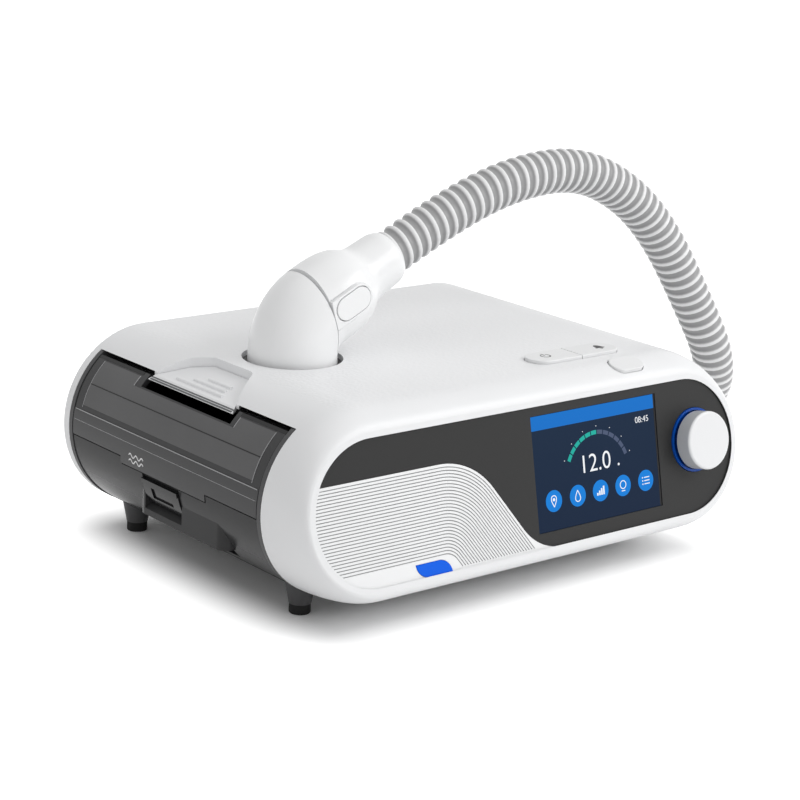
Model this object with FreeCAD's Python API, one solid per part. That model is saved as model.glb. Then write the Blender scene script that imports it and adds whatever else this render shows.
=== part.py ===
import FreeCAD, Part
import math
import os

from FreeCAD import Placement, Rotation, Vector

# A bedside breathing-therapy machine: a white sleeve with round ends, a smoked
# water tank that slides out of its left end, a leaning front panel, and a hose
# on a swivel elbow. Millimetres, +Z up, the panel faces -Y, the feet stand on z = 0.

# ---- driving sizes: case ----
case_width = 265.0
case_height = 86.0
foot_height = 10.5
ring_depth = 27.0
bay_depth = 151.0
rim_thick = 5.5
front_y = -86.2
front_lean = 12.0
shell_wall = 2.5
lip_grow = 2.0
panel_side_margin = 7.5
panel_top_margin = 10.8
panel_rise = 1.2
seat_gap = 0.3
ring_steps = 6
rim_round = 1.5
overcut = 5.0
cut_play = 0.2
edge_find = 0.01

case_mid_z = foot_height + case_height / 2
end_radius = case_height / 2
half_width = case_width / 2
end_x = half_width - end_radius
top_z = foot_height + case_height
roof_z = top_z - shell_wall
ring_back_y = front_y + ring_depth
rim_y = ring_back_y + bay_depth
back_y = rim_y + rim_thick
panel_z = case_mid_z + panel_rise
inner_half_width = half_width - shell_wall
bay_mid_y = (ring_back_y + rim_y) / 2
panel_half_width = half_width - panel_side_margin
panel_half_height = end_radius - panel_top_margin
floor_top = foot_height + shell_wall

# ---- driving sizes: tank and its bay ----
window_angle = 53.0
bay_wall = 2.5
divider_x = -half_width + 100.5
tank_gap = 0.3
tank_wall = 2.2
tank_inset = 0.4
tank_floor_rise = 6.8
tank_low_angle = 58.0
tub_top_z = case_mid_z - 1.5
tank_roof_top = roof_z - 9.9
gasket_thick = 1.0
lid_wall = 2.5
roof_gap = 0.9
roof_mouth_back = 4.4
lid_band_grow = 0.3
lid_top_angle = 50.0
lid_low_angle = -4.0
lid_band_angle = 13.0
tongue_angle = -8.6
tongue_from = bay_mid_y - 34.3
tongue_to = bay_mid_y + 31.7
lid_gap_angle = 0.9
lid_room_depth = 0.4
tub_lap_depth = 2.6
tub_lap = 0.5
tub_lap_low = -18.0
tub_lap_high = 20.0
hinge_angle = 48.5
hinge_radius = 39.8
hinge_pin_radius = 1.2
hinge_knuckle_radius = 2.0
hinge_places = (ring_back_y + 13.2, rim_y - 23.8)
hinge_knuckle_length = 10.0
hinge_side_gap = 0.3
hinge_relief = 3.4
hinge_bore_reach = 9.0
hinge_ear_thick = 2.4
hinge_room = 0.2
hinge_trim_angle = 48.7
running_gap = 0.05
pad_from = bay_mid_y - 36.3
pad_to = bay_mid_y + 30.7
pad_notch_angle = 40.6
pad_front_angle = 46.5
pad_lip_angle = 51.0
pad_plate = 2.0
pad_back_x = -half_width + 36.2
pad_sink = 4.6
pad_pin_radius = 0.7
scoop_overrun = 12.0
scoop_land = 7.0
scoop_corner = 6.0
scoop_flare = 5.0
scoop_near_run = 18.0
scoop_far_run = 10.0
scoop_cut_x = 6.5
scoop_cut_y = 9.5
scoop_wall = 1.6
scoop_skirt = 8.0
pad_ear_places = (bay_mid_y - 13.0, bay_mid_y + 8.2)
pad_ear_thick = 2.0
pad_ear_half = 1.2
pad_barrel_radius = 1.6
pad_axis_drop = 4.4
pad_web = 2.6
pad_rib_radius = 0.9
# Each rib's share of the way up the pad, its length and its middle.
pad_ribs = ((0.16, 35.0, bay_mid_y - 1.8), (0.34, 24.0, bay_mid_y - 4.8), (0.52, 17.0, bay_mid_y - 7.3))

# ---- driving sizes: latch and finger grip ----
latch_from = bay_mid_y - 13.3
latch_to = bay_mid_y + 14.7
latch_top_angle = -11.5
latch_pin_angle = -28.0
latch_pin_radius = 0.8
latch_plate = 1.6
latch_lip = 2.86
latch_gap = 0.4
latch_boss_depth = 2.6
latch_boss_sink = 0.6
latch_boss_angle = 6.0
latch_boss_side = 3.0
latch_pin_reach = 2.5
latch_pin_sink = 1.4
latch_sink = 0.9
latch_knuckle_radius = 1.7
latch_knuckle_room = 2.2
latch_slot_inset = 6.0
latch_slot_depth = 0.7
latch_slot_angle = 4.5
latch_lip_rise = 0.6
grip_from = bay_mid_y - 45.3
grip_to = bay_mid_y + 20.7
grip_top_z = case_mid_z - 8.5
grip_bottom_z = case_mid_z - 26.5
grip_x = -half_width + 3.0
grip_wall = 2.4
grip_corner = 5.0
grip_block = 6.0
grip_liner_sink = 0.5
grip_pocket_x = -half_width + 20.5
grip_pocket_to = bay_mid_y - 16.8
grip_pocket_low = case_mid_z - 31.5
grip_pocket_high = case_mid_z - 14.5

# ---- driving sizes: outlet, elbow and hose ----
outlet_x = -half_width + 66.5
outlet_y = bay_mid_y - 6.15
outlet_hole_radius = 23.0
elbow_radius = 20.3
elbow_bore = 11.0
bend_radius = 22.0
bend_z = top_z + 2.2
bend_angle = 64.0
spigot_radius = 13.0
spigot_depth = 4.0
collar_wall = 2.3
collar_thick = 2.5
collar_lap = 0.4
parting_x = outlet_x + 7.8
parting_z = top_z + 20.0
parting_rise = 20.0
parting_gap = 0.4
plug_radius = 14.0
plug_length = 12.0
plug_root = 8.0
socket_back = 40.0
connector_length = 45.2
hose_diameter = 22.0
button_from = -2.5
button_to = 17.0
button_height = 11.0
button_offset = 1.8
button_travel_room = 2.0
boss_margin = 1.7
boss_from = -16.0
boss_groove = 0.4
boss_sink = 0.2
button_gap = 0.4
button_thick = 1.6
button_proud = 0.4
button_round = 0.35
boss_groove_depth = 2.5
parting_flare = 4.5
cuff_radius = 13.5
cuff_bore = 11.0
cuff_length = 45.0
cuff_bore_depth = 25.0
cuff_rings = 4
cuff_ring_rise = 0.6
cuff_ring_width = 1.6
cuff_ring_from = 8.0
cuff_ring_pitch = 4.0

# ---- driving sizes: front panel ----
panel_recess = 0.8
panel_thick = 2.5
panel_gap = 0.25
border_width = 1.2
ledge_width = 3.5
ledge_thick = 2.0
screen_x = panel_half_width - 88.0
screen_u = 1.2
screen_width = 78.0
screen_height = 52.6
wave_level = 15.0
wave_corner_x = screen_x - screen_width / 2 - 35.5
wave_slope = 53.5
wave_bend = 37.0
wave_foot_bend = 27.0
wave_foot_lift = 0.2
groove_pitch = 1.43
groove_slope_pitch = 1.3
groove_bend_step = 1.05
groove_width = 0.45
groove_depth = 0.5
groove_count = 27
strip_height = 7.6
tab_left = wave_corner_x - 36.0
tab_right = wave_corner_x - 16.0
tab_height = 6.2
tab_bend = 7.0
tab_gap = 0.15
tab_rise = 0.2
display_margin = 2.5
display_margin_high = 1.0
display_thick = 5.0
lens_gap = 0.15
lens_sink = 0.4
display_play = 0.2
dial_x = panel_half_width - 25.0
dial_u = 2.3
dial_radius = 13.65
dial_height = 7.8
dial_rise = 1.2
dial_round = 1.2
dial_wall = 2.2
dial_hub = 2.5
dial_face = 3.0
dial_roof = 2.0
light_ring_width = 1.1
shaft_radius = 3.0
encoder_size = 15.0
encoder_depth = 8.0
carrier_thick = 2.0
carrier_corner = 8.0
carrier_window = (wave_corner_x - 57.0, wave_corner_x + 8.0, -14.0, 14.0)
dial_gap = 0.3
ring_top = -0.2
ring_web = 1.0
plunger_radius = 5.0
plunger_thick = 1.5
plunger_lift = 3.0
dial_travel = 1.0

# ---- driving sizes: keys ----
key_x = half_width - 83.5
key_y = front_y + 35.4
key_length = 53.0
key_width = 15.0
key_rise = 1.6
key_gap = 0.4
key_split = 0.5
key_flange = 1.2
key_flange_thick = 1.3
key_travel = 1.2
key_round = 0.5
key_stem_radius = 3.0
menu_x = half_width - 68.0
menu_y = front_y + 15.1
menu_z = top_z - 1.7
menu_length = 18.8
menu_width = 10.6
menu_tilt = 18.0
menu_flange_low = 4.8
menu_flange = 1.0
menu_flange_thick = 1.2
menu_rise = 0.9
menu_skirt = 3.0
menu_cut = 8.0
menu_room = 1.4
menu_room_low = 1.6
board_thick = 1.6
board_x = divider_x + 20.0
board_y = ring_back_y + 21.2
board_length = 80.0
board_width = 35.0
board_lift = 8.0
standoff_length = 12.0
pad_sheet_thick = 1.4
key_board_z = roof_z - 7.0
key_board_half = 15.0
key_board_margin = 6.0
peg_front = 3.0
peg_back = 11.0

# ---- driving sizes: inside ----
blower_x = half_width - 86.5
blower_y = rim_y - 55.8
blower_radius = 36.0
blower_floor_z = case_mid_z - 1.5
blower_height = 26.0
blower_wall = 2.2
port_z = case_mid_z + 13.5
port_y = rim_y - 29.8
port_radius = 8.5
port_wall = 2.0
port_seal_width = 3.5
throat_reach = 8.0
motor_radius = 16.0
boot_wall = 3.0
boot_height = 22.0
impeller_radius = 29.0
impeller_blades = 9
blade_height = 11.0
blade_thick = 1.4
blade_radius = 18.0
hub_radius = 7.0
motor_shaft_radius = 2.5
heater_from_x = -half_width + 45.5
heater_to_x = divider_x - 10.0
heater_from_y = bay_mid_y - 46.3
heater_to_y = bay_mid_y + 47.7
heater_pad_thick = 1.0
heater_pad_lap = 2.0
heater_corner = 6.0
plate_rim = 3.0
plate_thick = 1.4
window_corner = 4.0
plate_gap = 0.15
screw_radius = 1.5
screw_head_radius = 2.8
screw_head_thick = 1.6
screw_length = 10.0
pilot_height = 11.0
screw_slot_half = 0.3
screw_slot_depth = 0.7
lug_from_ends = 26.0
post_radius = 4.0
post_inset = 9.0
lug_inset = 5.5
lug_half = 5.0
lug_height = 12.0
foot_top_radius = 7.0
foot_radius = 4.8
rubber_height = 4.6
rubber_inset = 1.2
foot_step = 0.2
rubber_plug = 1.9
rubber_round = 0.6
foot_left_inset = 11.5
foot_right_inset = 8.0
foot_front_inset = 12.0
foot_back_inset = 10.5
chassis_edge_angle = 88.0

# ---- driving sizes: back ----
rear_panel_thick = 3.5
filter_x = divider_x + 32.0
filter_z = case_mid_z - 1.5
filter_width = 56.0
filter_height = 34.0
filter_thick = 7.0
door_thick = 2.2
door_barrel_radius = 1.2
door_pin_radius = 0.6
inlet_x = half_width - 80.5
inlet_z = foot_height + 19.5
inlet_radius = 5.5
inlet_depth = 9.0
inlet_body = 14.0

# ---- derived places ----
tank_outer = end_radius - tank_inset
tank_front_y = ring_back_y + seat_gap + bay_wall + tank_gap
tank_back_y = rim_y - seat_gap - bay_wall - tank_gap
tank_inner_x = divider_x - bay_wall - gasket_thick - 2 * tank_gap
tank_floor_z = foot_height + tank_floor_rise
tank_bottom_z = tank_floor_z - tank_wall
roof_low_z = tub_top_z + gasket_thick
lid_inner = tank_outer - lid_wall
roof_outer = lid_inner - roof_gap
lip_half_width = panel_half_width + lip_grow
lip_half_height = panel_half_height + lip_grow
up = Vector(0, 0, 1)
along_x = Vector(1, 0, 0)
along_y = Vector(0, 1, 0)
far = 400.0


# ---- small helpers ----
def box(x0, x1, y0, y1, z0, z1):
    return Part.makeBox(x1 - x0, y1 - y0, z1 - z0, Vector(x0, y0, z0))


def rod(radius, start, axis, length):
    return Part.makeCylinder(radius, length, start, axis)


def pipe(outer, inner, start, axis, length):
    return rod(outer, start, axis, length).cut(rod(inner, start, axis, length))


def stadium_wire(half_w, half_h):
    """A flat outline with round ends in the XY plane, round its middle."""
    flat = half_w - half_h
    top = Part.makeLine(Vector(-flat, half_h, 0), Vector(flat, half_h, 0))
    right = Part.Arc(Vector(flat, half_h, 0), Vector(half_w, 0, 0), Vector(flat, -half_h, 0)).toShape()
    low = Part.makeLine(Vector(flat, -half_h, 0), Vector(-flat, -half_h, 0))
    left = Part.Arc(Vector(-flat, -half_h, 0), Vector(-half_w, 0, 0), Vector(-flat, half_h, 0)).toShape()
    return Part.Wire([top, right, low, left])


def stadium(half_w, half_h, z0, z1):
    face = Part.Face(stadium_wire(half_w, half_h))
    face.translate(Vector(0, 0, z0))
    return face.extrude(Vector(0, 0, z1 - z0))


def rounded_plate(x0, x1, y0, y1, z0, z1, radius):
    plate = box(x0, x1, y0, y1, z0, z1)
    uprights = [e for e in plate.Edges if abs(e.Vertexes[0].Z - e.Vertexes[-1].Z) > (z1 - z0) / 2]
    return plate.makeFillet(radius, uprights)


def polygon(points, vector):
    """A prism whose outline is the points, in order."""
    outline = Part.makePolygon(points + [points[0]])
    return Part.Face(outline).extrude(vector)


def placed(shape, placement):
    moved = shape.copy()
    moved.Placement = placement.multiply(moved.Placement)
    return moved


def front_frame():
    """The leaning plane of the front lip: local X right, Y up the panel, Z outwards."""
    return Placement(Vector(0, front_y, panel_z), Rotation(along_x, 90 - front_lean))


def on_front(shape):
    return placed(shape, front_frame())


def end_point(angle, radius, y=0.0):
    """A point on the left round end, by its angle above the horizontal."""
    turn = math.radians(angle)
    return Vector(-end_x - radius * math.cos(turn), y, case_mid_z + radius * math.sin(turn))


def end_sector(inner, outer, low, high, y0, y1):
    """A curved wall on the left round end, between two radii and two angles."""
    middle = (low + high) / 2
    outer_arc = Part.Arc(end_point(low, outer, y0), end_point(middle, outer, y0), end_point(high, outer, y0))
    inner_arc = Part.Arc(end_point(high, inner, y0), end_point(middle, inner, y0), end_point(low, inner, y0))
    edges = [
        outer_arc.toShape(),
        Part.makeLine(end_point(high, outer, y0), end_point(high, inner, y0)),
        inner_arc.toShape(),
        Part.makeLine(end_point(low, inner, y0), end_point(low, outer, y0)),
    ]
    return Part.Face(Part.Wire(edges)).extrude(Vector(0, y1 - y0, 0))


def end_drum(radius, y0, y1):
    return rod(radius, Vector(-end_x, y0, case_mid_z), along_y, y1 - y0)


# ---- case shell ----
def ring_section(share, wall):
    """One outline of the front ring: it rolls over from the leaning lip to the upright body."""
    turn = share * math.pi / 2
    back = 1 - math.cos(turn)
    grow = math.sin(turn)
    half_w = lip_half_width + (half_width - lip_half_width) * grow - wall
    half_h = lip_half_height + (case_height / 2 - lip_half_height) * grow - wall
    lean = front_lean * (1 - back)
    place = Vector(0, front_y + ring_depth * back, panel_z + (case_mid_z - panel_z) * back)
    wire = stadium_wire(half_w, half_h)
    wire.Placement = Placement(place, Rotation(along_x, 90 - lean))
    return wire


def sleeve(wall, y_end):
    """The lofted ring and the straight body behind it, as one solid."""
    sections = [ring_section(i / ring_steps, wall) for i in range(ring_steps + 1)]
    ring = Part.makeLoft(sections, True, False)
    body_face = Part.Face(stadium_wire(half_width - wall, case_height / 2 - wall))
    body_face.Placement = Placement(Vector(0, ring_back_y, case_mid_z), Rotation(along_x, 90))
    body = body_face.extrude(Vector(0, y_end - ring_back_y, 0))
    return ring.fuse(body)


def scoop_outline(shrink, z0, z1):
    """The D-shaped recess over the tank, seen from above: two slanting sides and a straight back."""
    mouth_x = end_point(window_angle, end_radius).x - scoop_overrun
    back_x = outlet_x - outlet_hole_radius - scoop_land - shrink
    points = [
        Vector(mouth_x, pad_from - scoop_flare + shrink, z0),
        Vector(back_x, pad_from + scoop_near_run + shrink, z0),
        Vector(back_x, pad_to - scoop_far_run - scoop_cut_y - shrink, z0),
        Vector(back_x - scoop_cut_x, pad_to - scoop_far_run - shrink, z0),
        Vector(mouth_x, pad_to + scoop_flare - shrink, z0),
    ]
    block = polygon(points, Vector(0, 0, z1 - z0))
    corners = [
        e for e in block.Edges
        if abs(e.Vertexes[0].Z - e.Vertexes[-1].Z) > (z1 - z0) / 2 and e.Vertexes[0].X > mouth_x + 1
    ]
    return block.makeFillet(scoop_corner, corners)


def key_hole(grow, z0, z1):
    return placed(stadium(key_length / 2 + grow, key_width / 2 + grow, z0, z1),
                  Placement(Vector(key_x, key_y, 0), Rotation()))


def menu_frame():
    return Placement(Vector(menu_x, menu_y, menu_z), Rotation(along_x, menu_tilt))


def post_places():
    return [(divider_x + post_inset, ring_back_y + post_inset + post_radius),
            (divider_x + post_inset, rim_y - post_inset - post_radius)]


def lug_places():
    return [(end_x - lug_inset, ring_back_y + lug_from_ends), (end_x - lug_inset, rim_y - lug_from_ends)]


def outer_shell():
    outer = sleeve(0.0, back_y)
    rim_edges = [e for e in outer.Edges if e.BoundBox.YMin > back_y - edge_find]
    outer = outer.makeFillet(rim_round, rim_edges)
    shell = outer.cut(sleeve(shell_wall, back_y))
    edge_z = end_point(window_angle, end_radius).z
    shell = shell.cut(box(-half_width - overcut, 0, ring_back_y, rim_y, 0, edge_z))
    shell = shell.cut(box(-1, end_x, ring_back_y, rim_y, 0, floor_top + 1))
    ledge = stadium(half_width, case_height / 2, -panel_recess - panel_thick - ledge_thick,
                    -panel_recess - panel_thick)
    ledge = ledge.cut(stadium(panel_half_width - ledge_width, panel_half_height - ledge_width, -far, far))
    shell = shell.fuse(on_front(ledge).common(outer))
    skirt = scoop_outline(-scoop_wall, roof_z - scoop_skirt, top_z).common(outer)
    skirt = skirt.common(box(end_point(window_angle, end_radius).x, 0, -far, far, 0, far))
    shell = shell.fuse(skirt)
    shell = shell.cut(scoop_outline(0.0, 0, top_z + overcut))
    posts = [rod(post_radius, Vector(x, y, floor_top + seat_gap), up, roof_z - floor_top) for x,
             y in post_places()]
    lugs = [box(x - lug_half, half_width, y - lug_half, y + lug_half, floor_top + seat_gap,
                floor_top + lug_height)
            for x, y in lug_places()]
    shell = shell.fuse(posts + [lug.common(outer) for lug in lugs])
    pilots = [rod(screw_radius, Vector(x, y, 0), up, floor_top + pilot_height) for x,
              y in post_places() + lug_places()]
    shell = shell.cut(pilots)
    shell = shell.cut(rod(outlet_hole_radius, Vector(outlet_x, outlet_y, roof_z - 1), up, 10))
    shell = shell.cut(key_hole(key_gap, roof_z - 1, top_z + overcut))
    menu_hole = stadium(menu_length / 2 + key_gap, menu_width / 2 + key_gap, -menu_cut, menu_cut)
    shell = shell.cut(placed(menu_hole, menu_frame()))
    menu_space = stadium(menu_length / 2 + menu_room, menu_width / 2 + menu_room,
                         -menu_flange_low - key_travel - menu_room_low,
                        -menu_flange_low + seat_gap)
    shell = shell.cut(placed(menu_space, menu_frame()))
    return shell.removeSplitter()


def base_chassis():
    """The dark floor under everything, with the four foot posts."""
    slab = sleeve(0.0, back_y).common(box(-half_width, end_x - seat_gap, ring_back_y + seat_gap,
                                          rim_y - seat_gap, 0, floor_top))
    low_x = end_point(-tank_low_angle, tank_outer).x
    edge = end_sector(tank_outer - tank_wall, end_radius, -chassis_edge_angle, -tank_low_angle,
                      ring_back_y + seat_gap, rim_y - seat_gap)
    edge = edge.common(box(low_x - overcut, -end_x, -far, far, 0, tank_bottom_z - seat_gap))
    posts = []
    for x, y in foot_places():
        top = tank_bottom_z - seat_gap if x < divider_x else floor_top
        posts.append(Part.makeCone(foot_radius + foot_step, foot_top_radius, top - rubber_height,
                                   Vector(x, y, rubber_height), up))
    chassis = slab.fuse([edge] + posts)
    sockets = [rod(foot_radius - rubber_inset, Vector(x, y, rubber_height - edge_find), up,
                   rubber_plug + running_gap)
               for x, y in foot_places()]
    chassis = chassis.cut(sockets)
    screws = post_places() + lug_places()
    holes = [rod(screw_radius + cut_play, Vector(x, y, 0), up, far) for x, y in screws]
    sinks = [rod(screw_head_radius + cut_play, Vector(x, y, 0), up, foot_height + screw_head_thick) for x,
             y in screws]
    return chassis.cut(holes + sinks).removeSplitter()


def foot_places():
    left = -end_x - foot_left_inset
    return [(left, ring_back_y + foot_front_inset), (left, rim_y - foot_back_inset),
            (end_x - foot_right_inset, ring_back_y + foot_front_inset),
            (end_x - foot_right_inset, rim_y - foot_back_inset)]


def rubber_feet():
    feet = []
    for x, y in foot_places():
        foot = rod(foot_radius, Vector(x, y, 0), up, rubber_height)
        foot = foot.makeFillet(rubber_round, [foot.Edges[2]])
        plug = rod(foot_radius - rubber_inset, Vector(x, y, rubber_height), up, rubber_plug)
        feet.append(foot.fuse(plug))
    return Part.makeCompound(feet)


def case_screws():
    screws = []
    for x, y in post_places() + lug_places():
        shank = rod(screw_radius, Vector(x, y, foot_height + screw_head_thick), up, screw_length)
        head = rod(screw_head_radius, Vector(x, y, foot_height), up, screw_head_thick)
        slot = box(x - screw_head_radius, x + screw_head_radius, y - screw_slot_half,
                   y + screw_slot_half, foot_height, foot_height + screw_slot_depth)
        screws.append(head.fuse(shank).cut(slot))
    return Part.makeCompound(screws)


# ---- tank bay ----
def tank_bay():
    """The liner the tank slides into: two end plates, a divider and a top bar."""
    inside = sleeve(shell_wall + tank_gap, back_y)
    drum = end_drum(end_radius, ring_back_y, rim_y).fuse(
        box(-end_x, divider_x, ring_back_y, rim_y, foot_height, top_z))
    room = drum.common(box(-far, divider_x, -far, far, floor_top + seat_gap, roof_z - seat_gap))
    low_z = tank_bottom_z
    visible = end_drum(end_radius, ring_back_y, rim_y).common(
        box(-far, -end_x, -far, far, low_z, end_point(window_angle - 1.0, end_radius).z))
    room = room.common(inside.fuse(visible))
    front = room.common(box(-far, far, ring_back_y + seat_gap, ring_back_y + seat_gap + bay_wall, -far, far))
    back = room.common(box(-far, far, rim_y - seat_gap - bay_wall, rim_y - seat_gap, -far, far))
    divider = box(divider_x - bay_wall, divider_x, ring_back_y + seat_gap, rim_y - seat_gap,
                  floor_top + seat_gap, roof_z - seat_gap)
    divider = divider.cut(rod(port_radius, Vector(divider_x - 10, port_y, port_z), along_x, 20))
    return front.fuse([back, divider]).removeSplitter()


def heater_insulator():
    return rounded_plate(heater_from_x - heater_pad_lap, heater_to_x + heater_pad_lap,
                         heater_from_y - heater_pad_lap, heater_to_y + heater_pad_lap,
                         floor_top, floor_top + heater_pad_thick, heater_corner)


def heater_plate():
    top = tank_bottom_z - tank_gap
    return rounded_plate(heater_from_x, heater_to_x, heater_from_y, heater_to_y,
                         floor_top + heater_pad_thick, top, heater_corner)


def port_seal():
    x0 = divider_x - bay_wall - gasket_thick
    return pipe(port_radius + port_seal_width, port_radius, Vector(x0, port_y, port_z), along_x, gasket_thick)


# ---- tank ----
def tank_profile(inset, high_z):
    """The tank's section across the machine: a round outer end and a square inner one."""
    radius = tank_outer - inset
    low_z = tank_bottom_z + inset
    top = math.degrees(math.asin((high_z - case_mid_z) / radius))
    low = -math.degrees(math.asin((case_mid_z - low_z) / radius))
    start = end_point(top, radius)
    turn = end_point((top + low) / 2, radius)
    end = end_point(low, radius)
    inner_x = tank_inner_x - inset
    edges = [
        Part.Arc(start, turn, end).toShape(),
        Part.makeLine(end, Vector(inner_x, 0, low_z)),
        Part.makeLine(Vector(inner_x, 0, low_z), Vector(inner_x, 0, high_z)),
        Part.makeLine(Vector(inner_x, 0, high_z), start),
    ]
    face = Part.Face(Part.Wire(edges))
    face.translate(Vector(0, tank_front_y + inset, 0))
    return face.extrude(Vector(0, tank_back_y - tank_front_y - 2 * inset, 0))


def lid_room(grow):
    """The space of the lid's lower edge and tongue, cut from the tub's outer wall."""
    low = lid_low_angle - lid_gap_angle
    band = end_sector(lid_inner - lid_room_depth, end_radius + overcut, low, window_angle,
                      tank_front_y - 1, tank_back_y + 1)
    tongue = end_sector(lid_inner - lid_room_depth, end_radius + overcut, tongue_angle - lid_gap_angle,
                        low + 1,
                        tongue_from - grow, tongue_to + grow)
    return band.fuse(tongue)


def tank_tub():
    tub = tank_profile(0.0, tub_top_z)
    hollow = tank_profile(tank_wall, tub_top_z)
    hollow = hollow.fuse(hollow.translated(Vector(0, 0, 1.0)))
    tub = tub.cut(hollow)
    y0 = tank_front_y + tank_wall / 2
    y1 = tank_back_y - tank_wall / 2
    inner_wall = end_sector(lid_inner - tub_lap_depth, lid_inner + tub_lap, tub_lap_low, tub_lap_high, y0, y1)
    inner_wall = inner_wall.common(box(-far, far, -far, far, 0, tub_top_z))
    tub = tub.fuse(inner_wall)
    tub = tub.cut(lid_room(tank_gap))
    boss = end_sector(tank_outer - tank_wall - latch_boss_depth, tank_outer - latch_boss_sink,
                      latch_pin_angle - latch_boss_angle, tongue_angle - 1.5,
                      latch_from - latch_boss_side, latch_to + latch_boss_side)
    liner = grip_pocket(tank_wall).common(end_drum(tank_outer - grip_liner_sink, -far, far))
    tub = tub.fuse([boss, finger_grip(), liner])
    tub = tub.cut(grip_pocket(0.0))
    tub = tub.cut(latch_room())
    tub = tub.cut(rod(latch_pin_radius, end_point(latch_pin_angle, latch_radius(),
                                                  latch_from - latch_pin_reach), along_y,
                      latch_to - latch_from + 2 * latch_pin_reach))
    window = rounded_plate(heater_from_x + plate_rim, heater_to_x - plate_rim, heater_from_y + plate_rim,
                           heater_to_y - plate_rim, 0, tank_floor_z + 1, window_corner)
    return tub.cut(window).removeSplitter()


def latch_radius():
    return tank_outer - latch_pin_sink


def finger_grip():
    """A lip with an upright face under the tongue; fingers hook behind it from below."""
    inner_x = grip_x + grip_wall + grip_block
    block = box(grip_x, inner_x, grip_from, grip_to, grip_bottom_z, grip_top_z)
    edges = [e for e in block.Edges if e.BoundBox.XMax < grip_x + edge_find and e.BoundBox.ZLength > 1]
    block = block.makeFillet(grip_corner, edges)
    lip = block.cut(end_drum(tank_outer - tank_wall, -far, far))
    under_tongue = end_point(tongue_angle, tank_outer).z - 1.0
    return lip.common(end_drum(tank_outer, -far, far).fuse(box(-far, -end_x, -far, far, 0, under_tongue)))


def grip_pocket(grow):
    """The recess behind the lip, where the fingertips go."""
    return box(grip_x + grip_wall, grip_pocket_x + grow, grip_from + grip_wall - grow, grip_pocket_to + grow,
               grip_pocket_low - grow, grip_pocket_high + grow)


def latch_room():
    return end_sector(tank_outer - 1.2, end_radius + 8, latch_pin_angle + 2, tongue_angle - 0.5,
                      latch_from - latch_gap, latch_to + latch_gap).fuse(
        rod(latch_knuckle_room, end_point(latch_pin_angle, latch_radius(), latch_from - latch_gap), along_y,
            latch_to - latch_from + 2 * latch_gap)).fuse(
        end_sector(tank_outer - 0.2, end_radius + 12, latch_pin_angle - 2.5, latch_pin_angle + 2.5,
                   latch_from - latch_gap, latch_to + latch_gap))


def tank_latch():
    """A hinged clip under the lid's tongue, with a lip to pull."""
    outer = tank_outer - latch_sink + latch_plate
    plate = end_sector(tank_outer - latch_sink, outer, latch_pin_angle, latch_top_angle, latch_from, latch_to)
    lip = end_sector(tank_outer - latch_sink, tank_outer - latch_sink + latch_plate + latch_lip_rise,
                     latch_top_angle - latch_lip,
                     latch_top_angle, latch_from, latch_to)
    knuckle = rod(latch_knuckle_radius, end_point(latch_pin_angle, latch_radius(), latch_from), along_y,
                  latch_to - latch_from)
    slot = end_sector(outer - latch_slot_depth, outer + overcut, latch_pin_angle + latch_slot_angle,
                      latch_top_angle - latch_lip - 2,
                      latch_from + latch_slot_inset, latch_to - latch_slot_inset)
    latch = plate.fuse([lip, knuckle]).cut(slot)
    pin = rod(latch_pin_radius + running_gap, end_point(latch_pin_angle, latch_radius(), -far), along_y,
              2 * far)
    return latch.cut(pin).removeSplitter()


def latch_pin():
    return rod(latch_pin_radius, end_point(latch_pin_angle, latch_radius(), latch_from - latch_pin_reach),
               along_y,
               latch_to - latch_from + 2 * latch_pin_reach)


def tank_gasket():
    """The flat seal between the tub and the roof."""
    outer = box(-end_x, tank_inner_x, tank_front_y, tank_back_y, tub_top_z, roof_low_z)
    outer = outer.fuse(end_drum(roof_outer, tank_front_y, tank_back_y).common(
        box(-far, -end_x, -far, far, tub_top_z, roof_low_z)))
    inner = box(-end_x, tank_inner_x - tank_wall, tank_front_y + tank_wall, tank_back_y - tank_wall,
                tub_top_z, roof_low_z)
    inner = inner.fuse(end_drum(roof_outer - tank_wall, tank_front_y + tank_wall,
                                tank_back_y - tank_wall).common(
        box(-far, -end_x, -far, far, tub_top_z, roof_low_z)))
    return outer.cut(inner).removeSplitter()


def roof_mouth_x():
    return end_point(window_angle, end_radius).x + roof_mouth_back


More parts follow.
